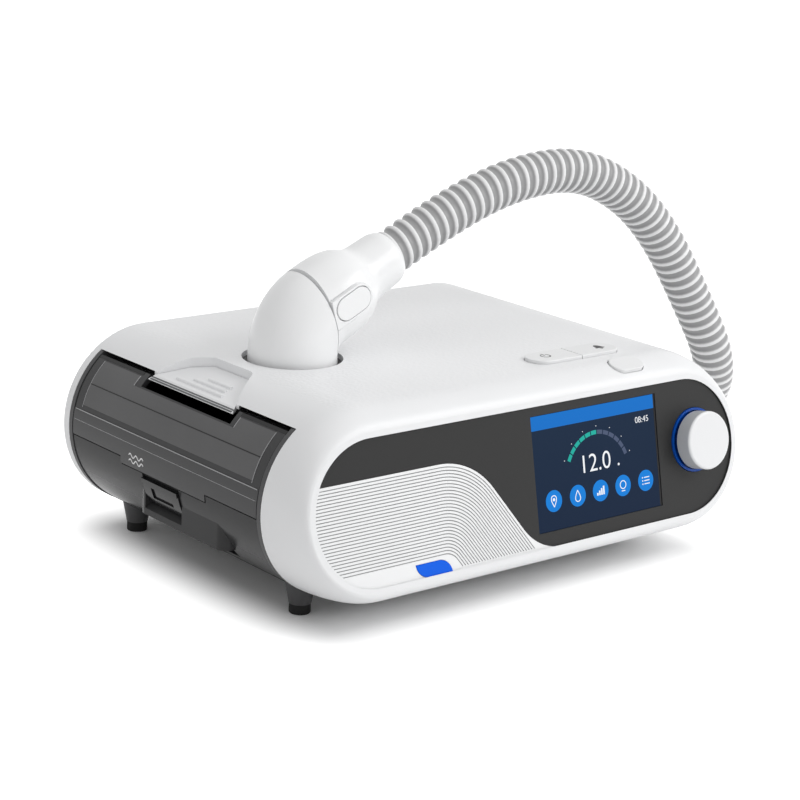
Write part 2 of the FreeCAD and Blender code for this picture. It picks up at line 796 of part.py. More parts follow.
def tank_roof():
    """The air space over the water: open towards the lid, with an air port on its side and top."""
    outer = end_drum(roof_outer, tank_front_y, tank_back_y).fuse(
        box(-end_x, tank_inner_x, tank_front_y, tank_back_y, roof_low_z, tank_roof_top))
    outer = outer.common(box(-far, tank_inner_x, tank_front_y, tank_back_y, roof_low_z, tank_roof_top))
    inner = box(-far, tank_inner_x - tank_wall, tank_front_y + tank_wall, tank_back_y - tank_wall,
                0, tank_roof_top - tank_wall)
    roof = outer.cut(inner)
    trim = box(-far, roof_mouth_x(), tank_front_y + tank_wall, tank_back_y - tank_wall, 0, far)
    roof = roof.cut(trim)
    roof = roof.cut(rod(hinge_relief, end_point(hinge_angle, hinge_radius, -far), along_y, 2 * far))
    ears = []
    for y in hinge_places:
        for side in (-1, 1):
            y_mid = y + side * (hinge_knuckle_length / 2 + hinge_side_gap + hinge_ear_thick / 2)
            y0 = y_mid - hinge_ear_thick / 2
            eye = rod(hinge_knuckle_radius, end_point(hinge_angle, hinge_radius, y0), along_y,
                      hinge_ear_thick)
            eye_at = end_point(hinge_angle, hinge_radius)
            arm = box(eye_at.x, roof_mouth_x() + 3, y0, y0 + hinge_ear_thick, tank_roof_top - tank_wall,
                      eye_at.z + hinge_knuckle_radius - 0.4)
            arm = arm.common(box(-far, far, -far, far, 0, tank_roof_top))
            ears += [eye, arm]
    roof = roof.fuse(ears + pad_ears())
    roof = roof.cut(rod(pad_pin_radius, pad_eye(-far), along_y, 2 * far))
    pins = [rod(hinge_pin_radius, end_point(hinge_angle, hinge_radius, y - hinge_bore_reach), along_y,
                2 * hinge_bore_reach) for y in hinge_places]
    port = rod(port_radius, Vector(tank_inner_x - 10, port_y, port_z), along_x, 20)
    outlet = rod(elbow_bore, Vector(outlet_x, outlet_y, tank_roof_top - 10), up, 20)
    return roof.cut(pins + [port, outlet]).removeSplitter()


def lid_pins():
    reach = hinge_knuckle_length / 2 + hinge_side_gap + hinge_ear_thick
    return Part.makeCompound([
        rod(hinge_pin_radius, end_point(hinge_angle, hinge_radius, y - reach), along_y, 2 * reach)
        for y in hinge_places])


def tank_lid():
    """The smoked flap: a curved panel, a thicker band along its lower edge and a tongue."""
    y0 = tank_front_y + tank_gap
    y1 = tank_back_y - tank_gap
    panel = end_sector(lid_inner, tank_outer, lid_low_angle, lid_top_angle, y0, y1)
    band = end_sector(lid_inner, tank_outer + lid_band_grow, lid_low_angle, lid_band_angle, y0, y1)
    tongue = end_sector(lid_inner, tank_outer + lid_band_grow, tongue_angle, lid_low_angle + 1,
                        tongue_from, tongue_to)
    knuckles = [rod(hinge_knuckle_radius, end_point(hinge_angle, hinge_radius, y - hinge_knuckle_length / 2),
                    along_y, hinge_knuckle_length) for y in hinge_places]
    knuckles = [k.common(end_drum(tank_outer, -far, far)) for k in knuckles]
    lid = panel.fuse([band, tongue] + knuckles)
    notch = end_sector(lid_inner - overcut, end_radius + overcut, pad_notch_angle, window_angle + overcut,
                       pad_from - 1,
                       pad_to + 1)
    cuts = [notch]
    for y in hinge_places:
        cuts.append(rod(hinge_pin_radius + running_gap,
                        end_point(hinge_angle, hinge_radius, y - hinge_bore_reach),
                        along_y, 2 * hinge_bore_reach))
        for side in (-1, 1):
            y_mid = y + side * (hinge_knuckle_length / 2 + hinge_side_gap + hinge_ear_thick / 2)
            half = hinge_ear_thick / 2 + hinge_room
            cuts.append(rod(hinge_knuckle_radius + hinge_room,
                            end_point(hinge_angle, hinge_radius, y_mid - half),
                            along_y, 2 * half))
            cuts.append(end_sector(lid_inner - overcut, end_radius + overcut, hinge_trim_angle,
                                   window_angle + overcut,
                                   y_mid - half, y_mid + half))
    return lid.cut(cuts).removeSplitter()


def tank_base_plate():
    gap = plate_gap
    low = rounded_plate(heater_from_x + plate_rim + gap, heater_to_x - plate_rim - gap,
                        heater_from_y + plate_rim + gap,
                        heater_to_y - plate_rim - gap, tank_bottom_z, tank_floor_z, window_corner - gap)
    rim = rounded_plate(heater_from_x, heater_to_x, heater_from_y, heater_to_y, tank_floor_z,
                        tank_floor_z + plate_thick, heater_corner)
    return low.fuse(rim).removeSplitter()


def pad_eye(y=0.0):
    """The axis of the thumb pad, on the tank's roof at the inner end of the scoop."""
    return Vector(pad_back_x - pad_barrel_radius, y, top_z - pad_sink - pad_axis_drop)


def pad_ears():
    ears = []
    for y in pad_ear_places:
        ears.append(box(pad_eye().x - pad_ear_half, pad_eye().x + pad_ear_half, y, y + pad_ear_thick,
                        tank_roof_top - 1,
                        pad_eye().z + pad_ear_half))
    return ears


def pad_pin():
    return rod(pad_pin_radius, pad_eye(pad_ear_places[0]), along_y,
               pad_ear_places[1] + pad_ear_thick - pad_ear_places[0])


def release_pad():
    """The pressed pad in the scoop: a sloping plate with three ribs and a front lip."""
    lip_low = end_point(pad_front_angle, end_radius)
    lip_high = end_point(pad_lip_angle, end_radius - 0.3)
    slope = [
        lip_low,
        lip_high,
        Vector(pad_back_x, 0, top_z - pad_sink),
        Vector(pad_back_x, 0, top_z - pad_sink - pad_plate),
        Vector(lip_high.x + 1.5, 0, lip_high.z - pad_plate),
        Vector(lip_low.x + 1.0, 0, lip_low.z - 0.6),
    ]
    plate = polygon(slope, Vector(0, pad_to - pad_from + 2 * scoop_flare, 0))
    plate = plate.translated(Vector(0, pad_from - scoop_flare, 0))
    top_from = slope[1]
    top_to = slope[2]
    ribs = []
    for share, length, y_mid in pad_ribs:
        x = top_from.x + (top_to.x - top_from.x) * share
        z = top_from.z + (top_to.z - top_from.z) * share
        ribs.append(rod(pad_rib_radius, Vector(x, y_mid - length / 2, z), along_y, length))
    barrel_from = pad_ear_places[0] + pad_ear_thick + cut_play
    barrel_length = pad_ear_places[1] - cut_play - barrel_from
    barrel = rod(pad_barrel_radius, pad_eye(barrel_from), along_y, barrel_length)
    web = box(pad_eye().x - pad_ear_half, pad_eye().x + pad_ear_half, barrel_from,
              barrel_from + barrel_length, pad_eye().z,
              pad_eye().z + pad_web)
    pad = plate.fuse(ribs + [barrel, web]).common(scoop_outline(tank_gap, 0, far))
    return pad.cut(rod(pad_pin_radius + running_gap, pad_eye(-far), along_y, 2 * far)).removeSplitter()


# ---- outlet, elbow and hose ----
def outlet_collar():
    neck_low = tank_roof_top + tank_gap + gasket_thick
    flange = rod(outlet_hole_radius + collar_lap, Vector(outlet_x, outlet_y, roof_z - collar_thick), up,
                 collar_thick)
    neck = rod(spigot_radius + collar_wall, Vector(outlet_x, outlet_y, neck_low), up, roof_z - neck_low)
    bore = rod(spigot_radius + running_gap, Vector(outlet_x, outlet_y, 0), up, far)
    return flange.fuse(neck).cut(bore).removeSplitter()


def outlet_seal():
    return pipe(spigot_radius + collar_wall, elbow_bore,
                Vector(outlet_x, outlet_y, tank_roof_top + tank_gap), up,
                gasket_thick)


def bend_centre():
    return Vector(outlet_x + bend_radius, outlet_y, bend_z)


def hose_axis():
    rise = math.radians(90 - bend_angle)
    return Vector(math.cos(rise), 0, math.sin(rise))


def bend_end():
    turn = math.radians(bend_angle)
    return bend_centre() + Vector(-bend_radius * math.cos(turn), 0, bend_radius * math.sin(turn))


def bent_rod(radius, low_z, reach):
    """An upright rod that bends over towards +X and runs on straight."""
    upright = rod(radius, Vector(outlet_x, outlet_y, low_z), up, bend_z - low_z)
    disc = Part.Face(Part.Wire(Part.makeCircle(radius, Vector(outlet_x, outlet_y, bend_z), up)))
    bend = disc.revolve(bend_centre(), along_y, bend_angle)
    straight = rod(radius, bend_end(), hose_axis(), reach)
    return upright.fuse([bend, straight])


def parting_block(shift, side, rise=parting_rise):
    """Half of space on one side of the sloping parting plane."""
    block = Part.makeBox(far, far, far, Vector(0, -far / 2, -far / 2))
    if side < 0:
        block = Part.makeBox(far, far, far, Vector(-far, -far / 2, -far / 2))
    place = Placement(Vector(parting_x, outlet_y, parting_z), Rotation(along_y, -rise))
    block.translate(Vector(shift, 0, 0))
    return placed(block, place)


def outlet_elbow():
    dome = bent_rod(elbow_radius, roof_z + seat_gap, 4.0)
    dome = dome.common(parting_block(0.0, -1))
    plug = rod(plug_radius, bend_end() - hose_axis() * plug_root, hose_axis(), plug_root + plug_length)
    spigot = rod(spigot_radius, Vector(outlet_x, outlet_y, roof_z - spigot_depth), up,
                 spigot_depth + shell_wall)
    body = dome.fuse([plug, spigot])
    return body.cut(bent_rod(elbow_bore, 0, far)).removeSplitter()


def connector_outline():
    """The connector's outside, turned about the hose's axis: a full shoulder, a waist and a cuff."""
    shoulder = elbow_radius
    waist = 0.72 * elbow_radius
    cuff = 0.66 * elbow_radius
    shares = [(0, shoulder), (0.155, shoulder), (0.332, shoulder - 0.9), (0.465, shoulder - 3.0),
              (0.564, waist), (0.686, cuff + 0.3), (0.841, cuff), (0.951, cuff - 0.7), (1, cuff - 1.9)]
    points = [(share * connector_length, radius) for share, radius in shares]
    curve = Part.BSplineCurve()
    curve.interpolate([Vector(r, 0, s) for s, r in points])
    first = points[0]
    last = points[-1]
    edges = [
        curve.toShape(),
        Part.makeLine(Vector(last[1], 0, last[0]), Vector(0, 0, last[0])),
        Part.makeLine(Vector(0, 0, last[0]), Vector(0, 0, first[0])),
        Part.makeLine(Vector(0, 0, first[0]), Vector(first[1], 0, first[0])),
    ]
    return Part.Face(Part.Wire(edges)).revolve(Vector(0, 0, 0), up, 360)


def along_hose():
    """The hose's axis frame at the end of the bend: local Z along the hose, local Y towards +Y."""
    return Placement(bend_end(), Rotation(along_y, bend_angle))


def button_frame():
    """On the connector's front side: local X along the hose, local Y up, local Z out towards -Y."""
    lift = Vector(-hose_axis().z, 0, hose_axis().x) * button_offset
    turn = Rotation(along_y, -(90 - bend_angle)).multiply(Rotation(along_x, 90))
    return Placement(bend_end() + lift, turn)


def button_prism(start, grow, z0, z1):
    """A pill from a place on the hose's axis to the button's end, grown all round."""
    half = (button_to - start) / 2
    pill = stadium(half + grow, button_height / 2 + grow, z0, z1)
    pill.translate(Vector((button_to + start) / 2, 0, 0))
    return placed(pill, button_frame())


def hose_connector():
    start_bend = Part.Face(Part.Wire(Part.makeCircle(elbow_radius, Vector(outlet_x, outlet_y, bend_z), up)))
    bend = start_bend.revolve(bend_centre(), along_y, bend_angle)
    outside = parting_block(parting_gap, 1).common(parting_block(parting_gap, 1,
                                                                 parting_rise - parting_flare))
    body = bend.fuse(placed(connector_outline(), along_hose())).common(outside)
    face = elbow_radius - boss_sink
    body = body.fuse(button_prism(boss_from, boss_margin, 0, face).common(outside))
    line = button_prism(boss_from, boss_margin, face - boss_groove_depth, far).cut(
        button_prism(boss_from, boss_margin - boss_groove, 0, far))
    socket = rod(plug_radius + seat_gap, bend_end() - hose_axis() * socket_back, hose_axis(),
                 socket_back + plug_length + seat_gap)
    bore = rod(elbow_bore, bend_end(), hose_axis(), far)
    body = body.cut([socket, bore, line, bent_rod(plug_radius + seat_gap, 0, 1)])
    body = body.cut(button_prism(button_from, button_gap, face - button_travel_room - button_thick, far))
    return body.removeSplitter()


def cuff_button():
    face = elbow_radius - boss_sink
    cap = button_prism(button_from, 0.0, face - button_thick, face + button_proud)
    top = [e for e in cap.Edges if e.BoundBox.YMax < outlet_y - face - button_proud + edge_find]
    return cap.makeFillet(button_round, top)


# The put-away turns: a flat coil behind the machine, just clear of its back.
coil_outer_turn = 110.3
coil_inner_turn = 88.0
coil_lift = 0.2
coil_height = hose_diameter + coil_lift
coil_x = half_width + 0.5
coil_y = back_y + 1.9 + coil_outer_turn + hose_diameter / 2
lying_z = hose_diameter / 2 + coil_lift

# The hose's middle line from the connector to the coil. Each point is given by its share
# of the way to the coil's near side, its share of the way back, and its share of the fall.
hose_shares = [
    (0.0, 0.0, 0.0),
    (0.1288, 0.0, -0.1268),
    (0.2927, 0.0, -0.2338),
    (0.4565, 0.0, -0.2534),
    (0.597, 0.0, -0.1315),
    (0.7023, 0.0, 0.0574),
    (0.796, 0.0, 0.3131),
    (0.9052, 0.0017, 0.6365),
    (0.9715, 0.0991, 0.8678),
    (1.0027, 0.256, 1.0),
    (1.0125, 0.4462, 1.0),
    (1.0129, 0.6316, 1.0),
    (0.9824, 0.817, 1.0),
]
# The last length, from the inner turn up on to the coil, from the coil's middle.
tail_offsets = [
    (-59.2, -64.2, 11.2),
    (-34.6, -80.5, 19.3),
    (-6.5, -87.8, 24.8),
    (19.5, -87.3, 25.3),
]


def hose_route():
    start = bend_end() + hose_axis() * connector_length
    near_x = coil_x + coil_outer_turn
    return [(start.x + run * (near_x - start.x), outlet_y + back * (coil_y - outlet_y),
             start.z - fall * (start.z - lying_z)) for run, back, fall in hose_shares]


def tail_route():
    return [(coil_x + x, coil_y + y, lying_z + z) for x, y, z in tail_offsets]


def tube_along(points, radius, name):
    """Straight runs joined by tangent arcs, swept with a round section."""
    places = [Vector(*p) for p in points]
    edges = []
    start = places[0]
    tightest = far
    for before, corner, after in zip(places, places[1:], places[2:]):
        run_in = corner - before
        run_out = after - corner
        turn = run_in.getAngle(run_out)
        arc_radius = 0.45 * min(run_in.Length, run_out.Length) / math.tan(turn / 2)
        tightest = min(tightest, arc_radius)
        trim = arc_radius * math.tan(turn / 2)
        into = Vector(run_in).normalize()
        out = Vector(run_out).normalize()
        arc_start = corner - into * trim
        arc_end = corner + out * trim
        inward = (out - into).normalize()
        arc_middle = corner + inward * (arc_radius / math.cos(turn / 2) - arc_radius)
        edges.append(Part.LineSegment(start, arc_start).toShape())
        edges.append(Part.Arc(arc_start, arc_middle, arc_end).toShape())
        start = arc_end
    edges.append(Part.LineSegment(start, places[-1]).toShape())
    path = Part.Wire(edges)
    ring = Part.Wire(Part.makeCircle(radius, places[0], places[1] - places[0]))
    tube = path.makePipeShell([ring], True, False)
    print(name, "length", round(path.Length, 1), "tightest radius", round(tightest, 1),
          "volume share", round(tube.Volume / (math.pi * radius * radius * path.Length), 4))
    return tube


def hose_coil():
    """The put-away turns as one flat ring."""
    reach = hose_diameter / 2
    outer = rod(coil_outer_turn + reach, Vector(coil_x, coil_y, coil_lift), up, hose_diameter)
    inner = rod(coil_inner_turn - reach, Vector(coil_x, coil_y, 0), up, coil_height + 1)
    return outer.cut(inner)


def hose():
    tube = tube_along(hose_route(), hose_diameter / 2, "hose")
    return tube.cut(rod(coil_outer_turn + hose_diameter / 2, Vector(coil_x, coil_y, -1), up,
                        coil_height + 30))


def hose_tail():
    tube = tube_along(tail_route(), hose_diameter / 2, "hose tail")
    return tube.common(box(-far, far, -far, far, coil_height, far))


def cuff_axis():
    route = tail_route()
    return (Vector(*route[-1]) - Vector(*route[-2])).normalize()


def mask_cuff():
    start = Vector(*tail_route()[-1])
    body = rod(cuff_radius, start, cuff_axis(), cuff_length)
    grip = [pipe(cuff_radius + cuff_ring_rise, cuff_bore + 1,
                 start + cuff_axis() * (cuff_ring_from + cuff_ring_pitch * i),
                 cuff_axis(), cuff_ring_width)
            for i in range(cuff_rings)]
    body = body.fuse(grip)
    return body.cut(rod(cuff_bore, start + cuff_axis() * (cuff_length - cuff_bore_depth), cuff_axis(), far))


# ---- front panel ----
def bend_arc(before, corner, after, radius):
    """A round corner between two straight stretches: its start, its middle and its end."""
    into = (corner - before).normalize()
    out = (after - corner).normalize()
    turn = into.getAngle(out)
    trim = radius * math.tan(turn / 2)
    inward = (out - into).normalize()
    middle = corner + inward * (radius / math.cos(turn / 2) - radius)
    return Part.Arc(corner - into * trim, middle, corner + out * trim)


def wave_area(drop, shift, bend, foot_bend, z0, z1):
    """The panel below one line of the wave: a level, a round bend, a slope and a second bend."""
    angle = math.radians(wave_slope)
    down = Vector(math.cos(angle), -math.sin(angle), 0)
    left = -panel_half_width - 20
    low = -panel_half_height - 20
    level_from = Vector(left, wave_level - drop, 0)
    top = Vector(wave_corner_x - shift / math.sin(angle) + drop / math.tan(angle), wave_level - drop, 0)
    if foot_bend > 0:
        foot_y = -panel_half_height + wave_foot_lift - drop
        foot = top + down * ((top.y - foot_y) / math.sin(angle))
        level_to = foot + Vector(3 * foot_bend, 0, 0)
        foot_arc = bend_arc(top, foot, level_to, foot_bend)
    else:
        foot = top + down * ((top.y - low) / math.sin(angle))
    arc = bend_arc(level_from, top, foot, bend)
    edges = [Part.makeLine(level_from, arc.StartPoint), arc.toShape()]
    if foot_bend > 0:
        edges += [Part.makeLine(arc.EndPoint, foot_arc.StartPoint), foot_arc.toShape(),
                  Part.makeLine(foot_arc.EndPoint, Vector(foot_arc.EndPoint.x, low, 0)),
                  Part.makeLine(Vector(foot_arc.EndPoint.x, low, 0), Vector(left, low, 0))]
    else:
        edges += [Part.makeLine(arc.EndPoint, foot), Part.makeLine(foot, Vector(left, low, 0))]
    edges.append(Part.makeLine(Vector(left, low, 0), level_from))
    face = Part.Face(Part.Wire(edges))
    face.translate(Vector(0, 0, z0))
    return face.extrude(Vector(0, 0, z1 - z0))


def wave_outline(inset, z0, z1):
    """The wave's own edge, where the white panel meets the dark one."""
    return wave_area(inset, inset, wave_bend - inset, wave_foot_bend + inset, z0, z1)


def tab_outline(grow, z0, z1):
    """A leaf: sharp at its top left and bottom right, round at the other two corners."""
    low = -panel_half_height + tab_gap - grow
    high = low + tab_height + 2 * grow
    left = tab_left - grow
    right = tab_right + grow
    bulge = Vector(0.36 * tab_bend, 0.28 * tab_height, 0)
    top_arc = Part.Arc(Vector(right - tab_bend, high, z0), Vector(right - bulge.x, high - bulge.y, z0),
                       Vector(right, low, z0))
    low_arc = Part.Arc(Vector(left + tab_bend, low, z0), Vector(left + bulge.x, low + bulge.y, z0),
                       Vector(left, high, z0))
    edges = [
        Part.makeLine(Vector(left, high, z0), Vector(right - tab_bend, high, z0)),
        top_arc.toShape(),
        Part.makeLine(Vector(right, low, z0), Vector(left + tab_bend, low, z0)),
        low_arc.toShape(),
    ]
    return Part.Face(Part.Wire(edges)).extrude(Vector(0, 0, z1 - z0))


def grooves(z_face):
    """Fine channels inside the wave's edge, whose bends get tighter from row to row."""
    cuts = []
    for i in range(1, groove_count + 1):
        drop = i * groove_pitch
        shift = i * groove_slope_pitch
        bend = wave_bend - i * groove_bend_step
        channel = wave_area(drop, shift, bend, 0, z_face - groove_depth, z_face + 1).cut(
            wave_area(drop + groove_width, shift + groove_width, bend - groove_width, 0,
                      z_face - groove_depth - 1, z_face + 2))
        cuts.append(channel)
    return cuts


def wave_panel():
    face = -panel_recess
    plate = stadium(panel_half_width - panel_gap, panel_half_height - panel_gap, face - panel_thick, face)
    plate = plate.common(wave_outline(panel_gap, -far, far))
    inner = stadium(panel_half_width - panel_gap - border_width,
                    panel_half_height - panel_gap - border_width, -far, far)
    strip = box(-far, tab_left - border_width, -far, -panel_half_height + strip_height, -far, far)
    tab_room = tab_outline(border_width, -far, far)
    channels = Part.makeCompound(grooves(face)).common(inner).cut(strip.fuse(tab_room))
    plate = plate.cut(channels)
    plate = plate.cut(tab_outline(tab_gap, -far, far))
    return on_front(plate)


def status_tab():
    face = -panel_recess
    return on_front(tab_outline(0.0, face - panel_thick, face + tab_rise).common(
        stadium(panel_half_width - panel_gap, panel_half_height - panel_gap, -far, far)))


def fascia():
    face = -panel_recess
    plate = stadium(panel_half_width - panel_gap, panel_half_height - panel_gap, face - panel_thick, face)
    plate = plate.cut(wave_outline(0.0, -far, far))
    window = box(screen_x - screen_width / 2, screen_x + screen_width / 2, screen_u - screen_height / 2,
                 screen_u + screen_height / 2, -far, far)
    dial_hole = rod(dial_radius + light_ring_width + 2 * dial_gap, Vector(dial_x, dial_u, -far), up, 2 * far)
    return on_front(plate.cut([window, dial_hole]))


def screen_lens():
    gap = lens_gap
    return on_front(box(screen_x - screen_width / 2 + gap, screen_x + screen_width / 2 - gap,
                        screen_u - screen_height / 2 + gap, screen_u + screen_height / 2 - gap,
                        -panel_recess - panel_thick, -panel_recess - lens_sink))


def display_module():
    top = -panel_recess - panel_thick
    half_w = screen_width / 2 + display_margin
    half_h = screen_height / 2 + display_margin_high
    return on_front(box(screen_x - half_w, screen_x + half_w, screen_u - half_h, screen_u + half_h,
                        top - display_thick, top))


def panel_carrier():
    """The inner plate that holds the display and the dial's encoder against the ledge."""
    top = -panel_recess - panel_thick - ledge_thick
    plate = stadium(panel_half_width - 1.0, panel_half_height - 1.0, top - carrier_thick, top)
    half_w = screen_width / 2 + display_margin + display_play
    half_h = screen_height / 2 + display_margin_high + display_play
    plate = plate.cut(box(screen_x - half_w, screen_x + half_w, screen_u - half_h, screen_u + half_h, -far,
                          far))
    plate = plate.cut(rod(shaft_radius + dial_gap, Vector(dial_x, dial_u, -far), up, 2 * far))
    plate = plate.cut(rounded_plate(*carrier_window, -far, far, carrier_corner))
    seat_half = encoder_size / 2
    seat = box(dial_x - seat_half - carrier_thick, dial_x + seat_half + carrier_thick,
               dial_u - seat_half - carrier_thick, dial_u + seat_half + carrier_thick,
               top - carrier_thick - encoder_depth, top - carrier_thick)
    seat = seat.cut(box(dial_x - seat_half, dial_x + seat_half, dial_u - seat_half, dial_u + seat_half,
                        -far, far))
    return on_front(plate.fuse(seat).removeSplitter())


def carrier_back():
    return -panel_recess - panel_thick - ledge_thick - carrier_thick


def dial_light_ring():
    inner = dial_radius + dial_gap
    low = -panel_recess - panel_thick
    ring = pipe(inner + light_ring_width, inner, Vector(dial_x, dial_u, low - ledge_thick), up,
                ring_top - low + ledge_thick)
    web = pipe(inner + cut_play, shaft_radius + ring_web, Vector(dial_x, dial_u, low - ledge_thick), up,
               ring_web)
    return on_front(ring.fuse(web).removeSplitter())


def dial_encoder():
    half = encoder_size / 2 - display_play
    top = carrier_back()
    body = box(dial_x - half, dial_x + half, dial_u - half, dial_u + half, top - encoder_depth, top)
    room = rod(plunger_radius + running_gap, Vector(dial_x, dial_u,
                                                    plunger_low() - dial_travel - dial_gap), up,
               plunger_thick + dial_travel + 2 * dial_gap)
    bore = rod(shaft_radius + running_gap, Vector(dial_x, dial_u, plunger_low()), up, far)
    return on_front(body.cut([room, bore]))


def plunger_low():
    return carrier_back() - encoder_depth + plunger_lift


def encoder_plunger():
    """The push switch's plate, which the turning shaft stands on."""
    return on_front(rod(plunger_radius, Vector(dial_x, dial_u, plunger_low()), up, plunger_thick))


def dial_shaft():
    low = plunger_low() + plunger_thick + running_gap
    return on_front(rod(shaft_radius, Vector(dial_x, dial_u, low), up,
                        dial_rise + dial_height - dial_roof - low))


def dial_knob():
    body = rod(dial_radius, Vector(dial_x, dial_u, dial_rise), up, dial_height)
    rim = [e for e in body.Edges if abs(e.BoundBox.ZMin - dial_rise - dial_height) < edge_find]
    body = body.makeFillet(dial_round, rim)
    hollow = pipe(dial_radius - dial_wall, shaft_radius + dial_hub, Vector(dial_x, dial_u, dial_rise), up,
                  dial_height - dial_face)
    bore = rod(shaft_radius, Vector(dial_x, dial_u, dial_rise), up, dial_height - dial_roof)
    return on_front(body.cut([hollow, bore]))


# ---- keys ----
def key_half(side):
    """One half of the long key: its cap and the flange that keeps it in."""
    cap = key_hole(0.0, roof_z - seat_gap - key_flange_thick, top_z + key_rise)
    top = [e for e in cap.Edges if e.BoundBox.ZMin > top_z + key_rise - edge_find]
    cap = cap.makeFillet(key_round, top)
    flange = key_hole(key_flange, roof_z - seat_gap - key_flange_thick, roof_z - seat_gap)
    stem = rod(key_stem_radius, Vector(key_x + side * key_length / 4, key_y,
                           key_board_z + pad_sheet_thick + key_travel + seat_gap), up,
               roof_z - key_board_z - pad_sheet_thick - key_travel - 1.0)
    keep = box(key_x + key_split / 2, key_x + far, -far, far, 0, far)
    if side < 0:
        keep = box(key_x - far, key_x - key_split / 2, -far, far, 0, far)
    return cap.fuse([flange, stem]).common(keep).removeSplitter()


def menu_key():
    cap = stadium(menu_length / 2, menu_width / 2, -menu_skirt, menu_rise)
    top = [e for e in cap.Edges if e.BoundBox.ZMin > menu_rise - edge_find]
    cap = cap.makeFillet(key_gap, top)
    flange = stadium(menu_length / 2 + menu_flange, menu_width / 2 + menu_flange,
                     -menu_flange_low - menu_flange_thick, -menu_flange_low)
    neck = stadium(menu_length / 2 - menu_flange, menu_width / 2 - menu_flange,
                   -menu_flange_low - cut_play, -menu_skirt + key_gap)
    return placed(cap.fuse([flange, neck]).removeSplitter(), menu_frame())


def key_board_outline(z0, z1):
    half = key_length / 2 + key_board_margin
    return box(key_x - half, key_x + half, key_y - key_board_half, key_y + key_board_half, z0, z1)


def key_board():
    return key_board_outline(key_board_z - board_thick, key_board_z).cut(board_post_rods(0.1))


def key_pad():
    sheet = key_board_outline(key_board_z, key_board_z + pad_sheet_thick).cut(board_post_rods(0.3))
    domes = [rod(4.0, Vector(key_x + side * key_length / 4, key_y, key_board_z + pad_sheet_thick), up, 0.3)
             for side in (-1, 1)]
    return sheet.fuse(domes)


def board_post_rods(grow):
    places = [(key_x + sx * (key_length / 2 + 3.5), key_y + sy) for sx in (-1, 1)
              for sy in (-peg_front, peg_back)]
    return Part.makeCompound([rod(2.0 + grow, Vector(x, y, key_board_z - board_thick - 1), up,
                                  roof_z - key_board_z + board_thick + 1) for x, y in places])


def key_board_pegs():
    """The pegs under the case top that the key board is pressed on to."""
    heads = [rod(2.9, Vector(s.CenterOfMass.x, s.CenterOfMass.y, key_board_z - board_thick - 1), up, 1.0)
             for s in board_post_rods(0.0).Solids]
    pegs = [s.fuse(h).removeSplitter() for s, h in zip(board_post_rods(0.0).Solids, heads)]
    return Part.makeCompound(pegs)


# ---- blower and electronics ----
def blower_boot():
    outer = rod(motor_radius + boot_wall, Vector(blower_x, blower_y, floor_top), up, boot_height)
    return outer.cut(rod(motor_radius, Vector(blower_x, blower_y, floor_top + boot_wall), up, far))


def blower_motor():
    low = floor_top + boot_wall
    can = rod(motor_radius, Vector(blower_x, blower_y, low), up, blower_floor_z - low)
    can = can.makeFillet(1.5, [e for e in can.Edges if e.BoundBox.ZMin > blower_floor_z - 0.01])
    return can.cut(rod(motor_shaft_radius + running_gap, Vector(blower_x, blower_y, shaft_low_z() - 0.3),
                       up, far))


def shaft_low_z():
    return floor_top + boot_wall + 4.0


def motor_shaft():
    return rod(motor_shaft_radius, Vector(blower_x, blower_y, shaft_low_z()), up,
               blower_floor_z + blower_wall + blade_height + 1.2 - shaft_low_z())


def volute(radius_grow, z0, z1):
    """The spiral wall: half circles of growing radius round the impeller."""
    reach = blower_radius + radius_grow
    round_part = rod(reach, Vector(blower_x, blower_y, z0), up, z1 - z0)
    throat = box(blower_x - blower_radius - throat_reach - radius_grow, blower_x,
                 port_y - port_radius - port_wall - radius_grow, blower_y + reach, z0, z1)
    return round_part.fuse(throat)


def blower_housing():
    top = blower_floor_z + blower_height
    outer = volute(0.0, blower_floor_z, top)
    inner = volute(-blower_wall, blower_floor_z + blower_wall, top + 1)
    housing = outer.cut(inner)
    spout = pipe(port_radius + port_wall, port_radius, Vector(divider_x + seat_gap, port_y, port_z), along_x,
                 blower_x - blower_radius - throat_reach + 1 - divider_x)
    mouth = rod(port_radius, Vector(divider_x, port_y, port_z), along_x,
                blower_x - blower_radius - divider_x + 4)
    bearing = rod(motor_shaft_radius + 1.0, Vector(blower_x, blower_y, 0), up, far)
    return housing.fuse(spout.cut(volute(-0.5, 0, far))).cut([mouth, bearing]).removeSplitter()


def blower_cover():
    z0 = blower_floor_z + blower_height
    lid = volute(0.0, z0, z0 + blower_wall)
    collar = pipe(15.0, 13.0, Vector(blower_x, blower_y, z0 + blower_wall), up, 3.0)
    return lid.fuse(collar).cut(rod(13.0, Vector(blower_x, blower_y, 0), up, far)).removeSplitter()


def impeller():
    """A backplate, a hub and curved blades leaning away from the spin."""
    low = blower_floor_z + blower_wall + 1.2
    disc = rod(impeller_radius, Vector(blower_x, blower_y, low), up, 1.4)
    hub = rod(hub_radius, Vector(blower_x, blower_y, low), up, blade_height)
    blades = []
    for i in range(impeller_blades):
        centre = Vector(blower_x, blower_y + blade_radius, low + 1.0)
        ring = pipe(blade_radius + blade_thick / 2, blade_radius - blade_thick / 2, centre, up,
                    blade_height - 1.0)
        keep = rod(impeller_radius - 0.5, Vector(blower_x, blower_y, low), up, far)
        blade = ring.common(keep).common(box(blower_x, far, -far, far, 0, far))
        blade.rotate(Vector(blower_x, blower_y, 0), up, i * 360.0 / impeller_blades)
        blades.append(blade)
    wheel = disc.fuse([hub] + blades)
    return wheel.cut(rod(motor_shaft_radius, Vector(blower_x, blower_y, 0), up, far)).removeSplitter()


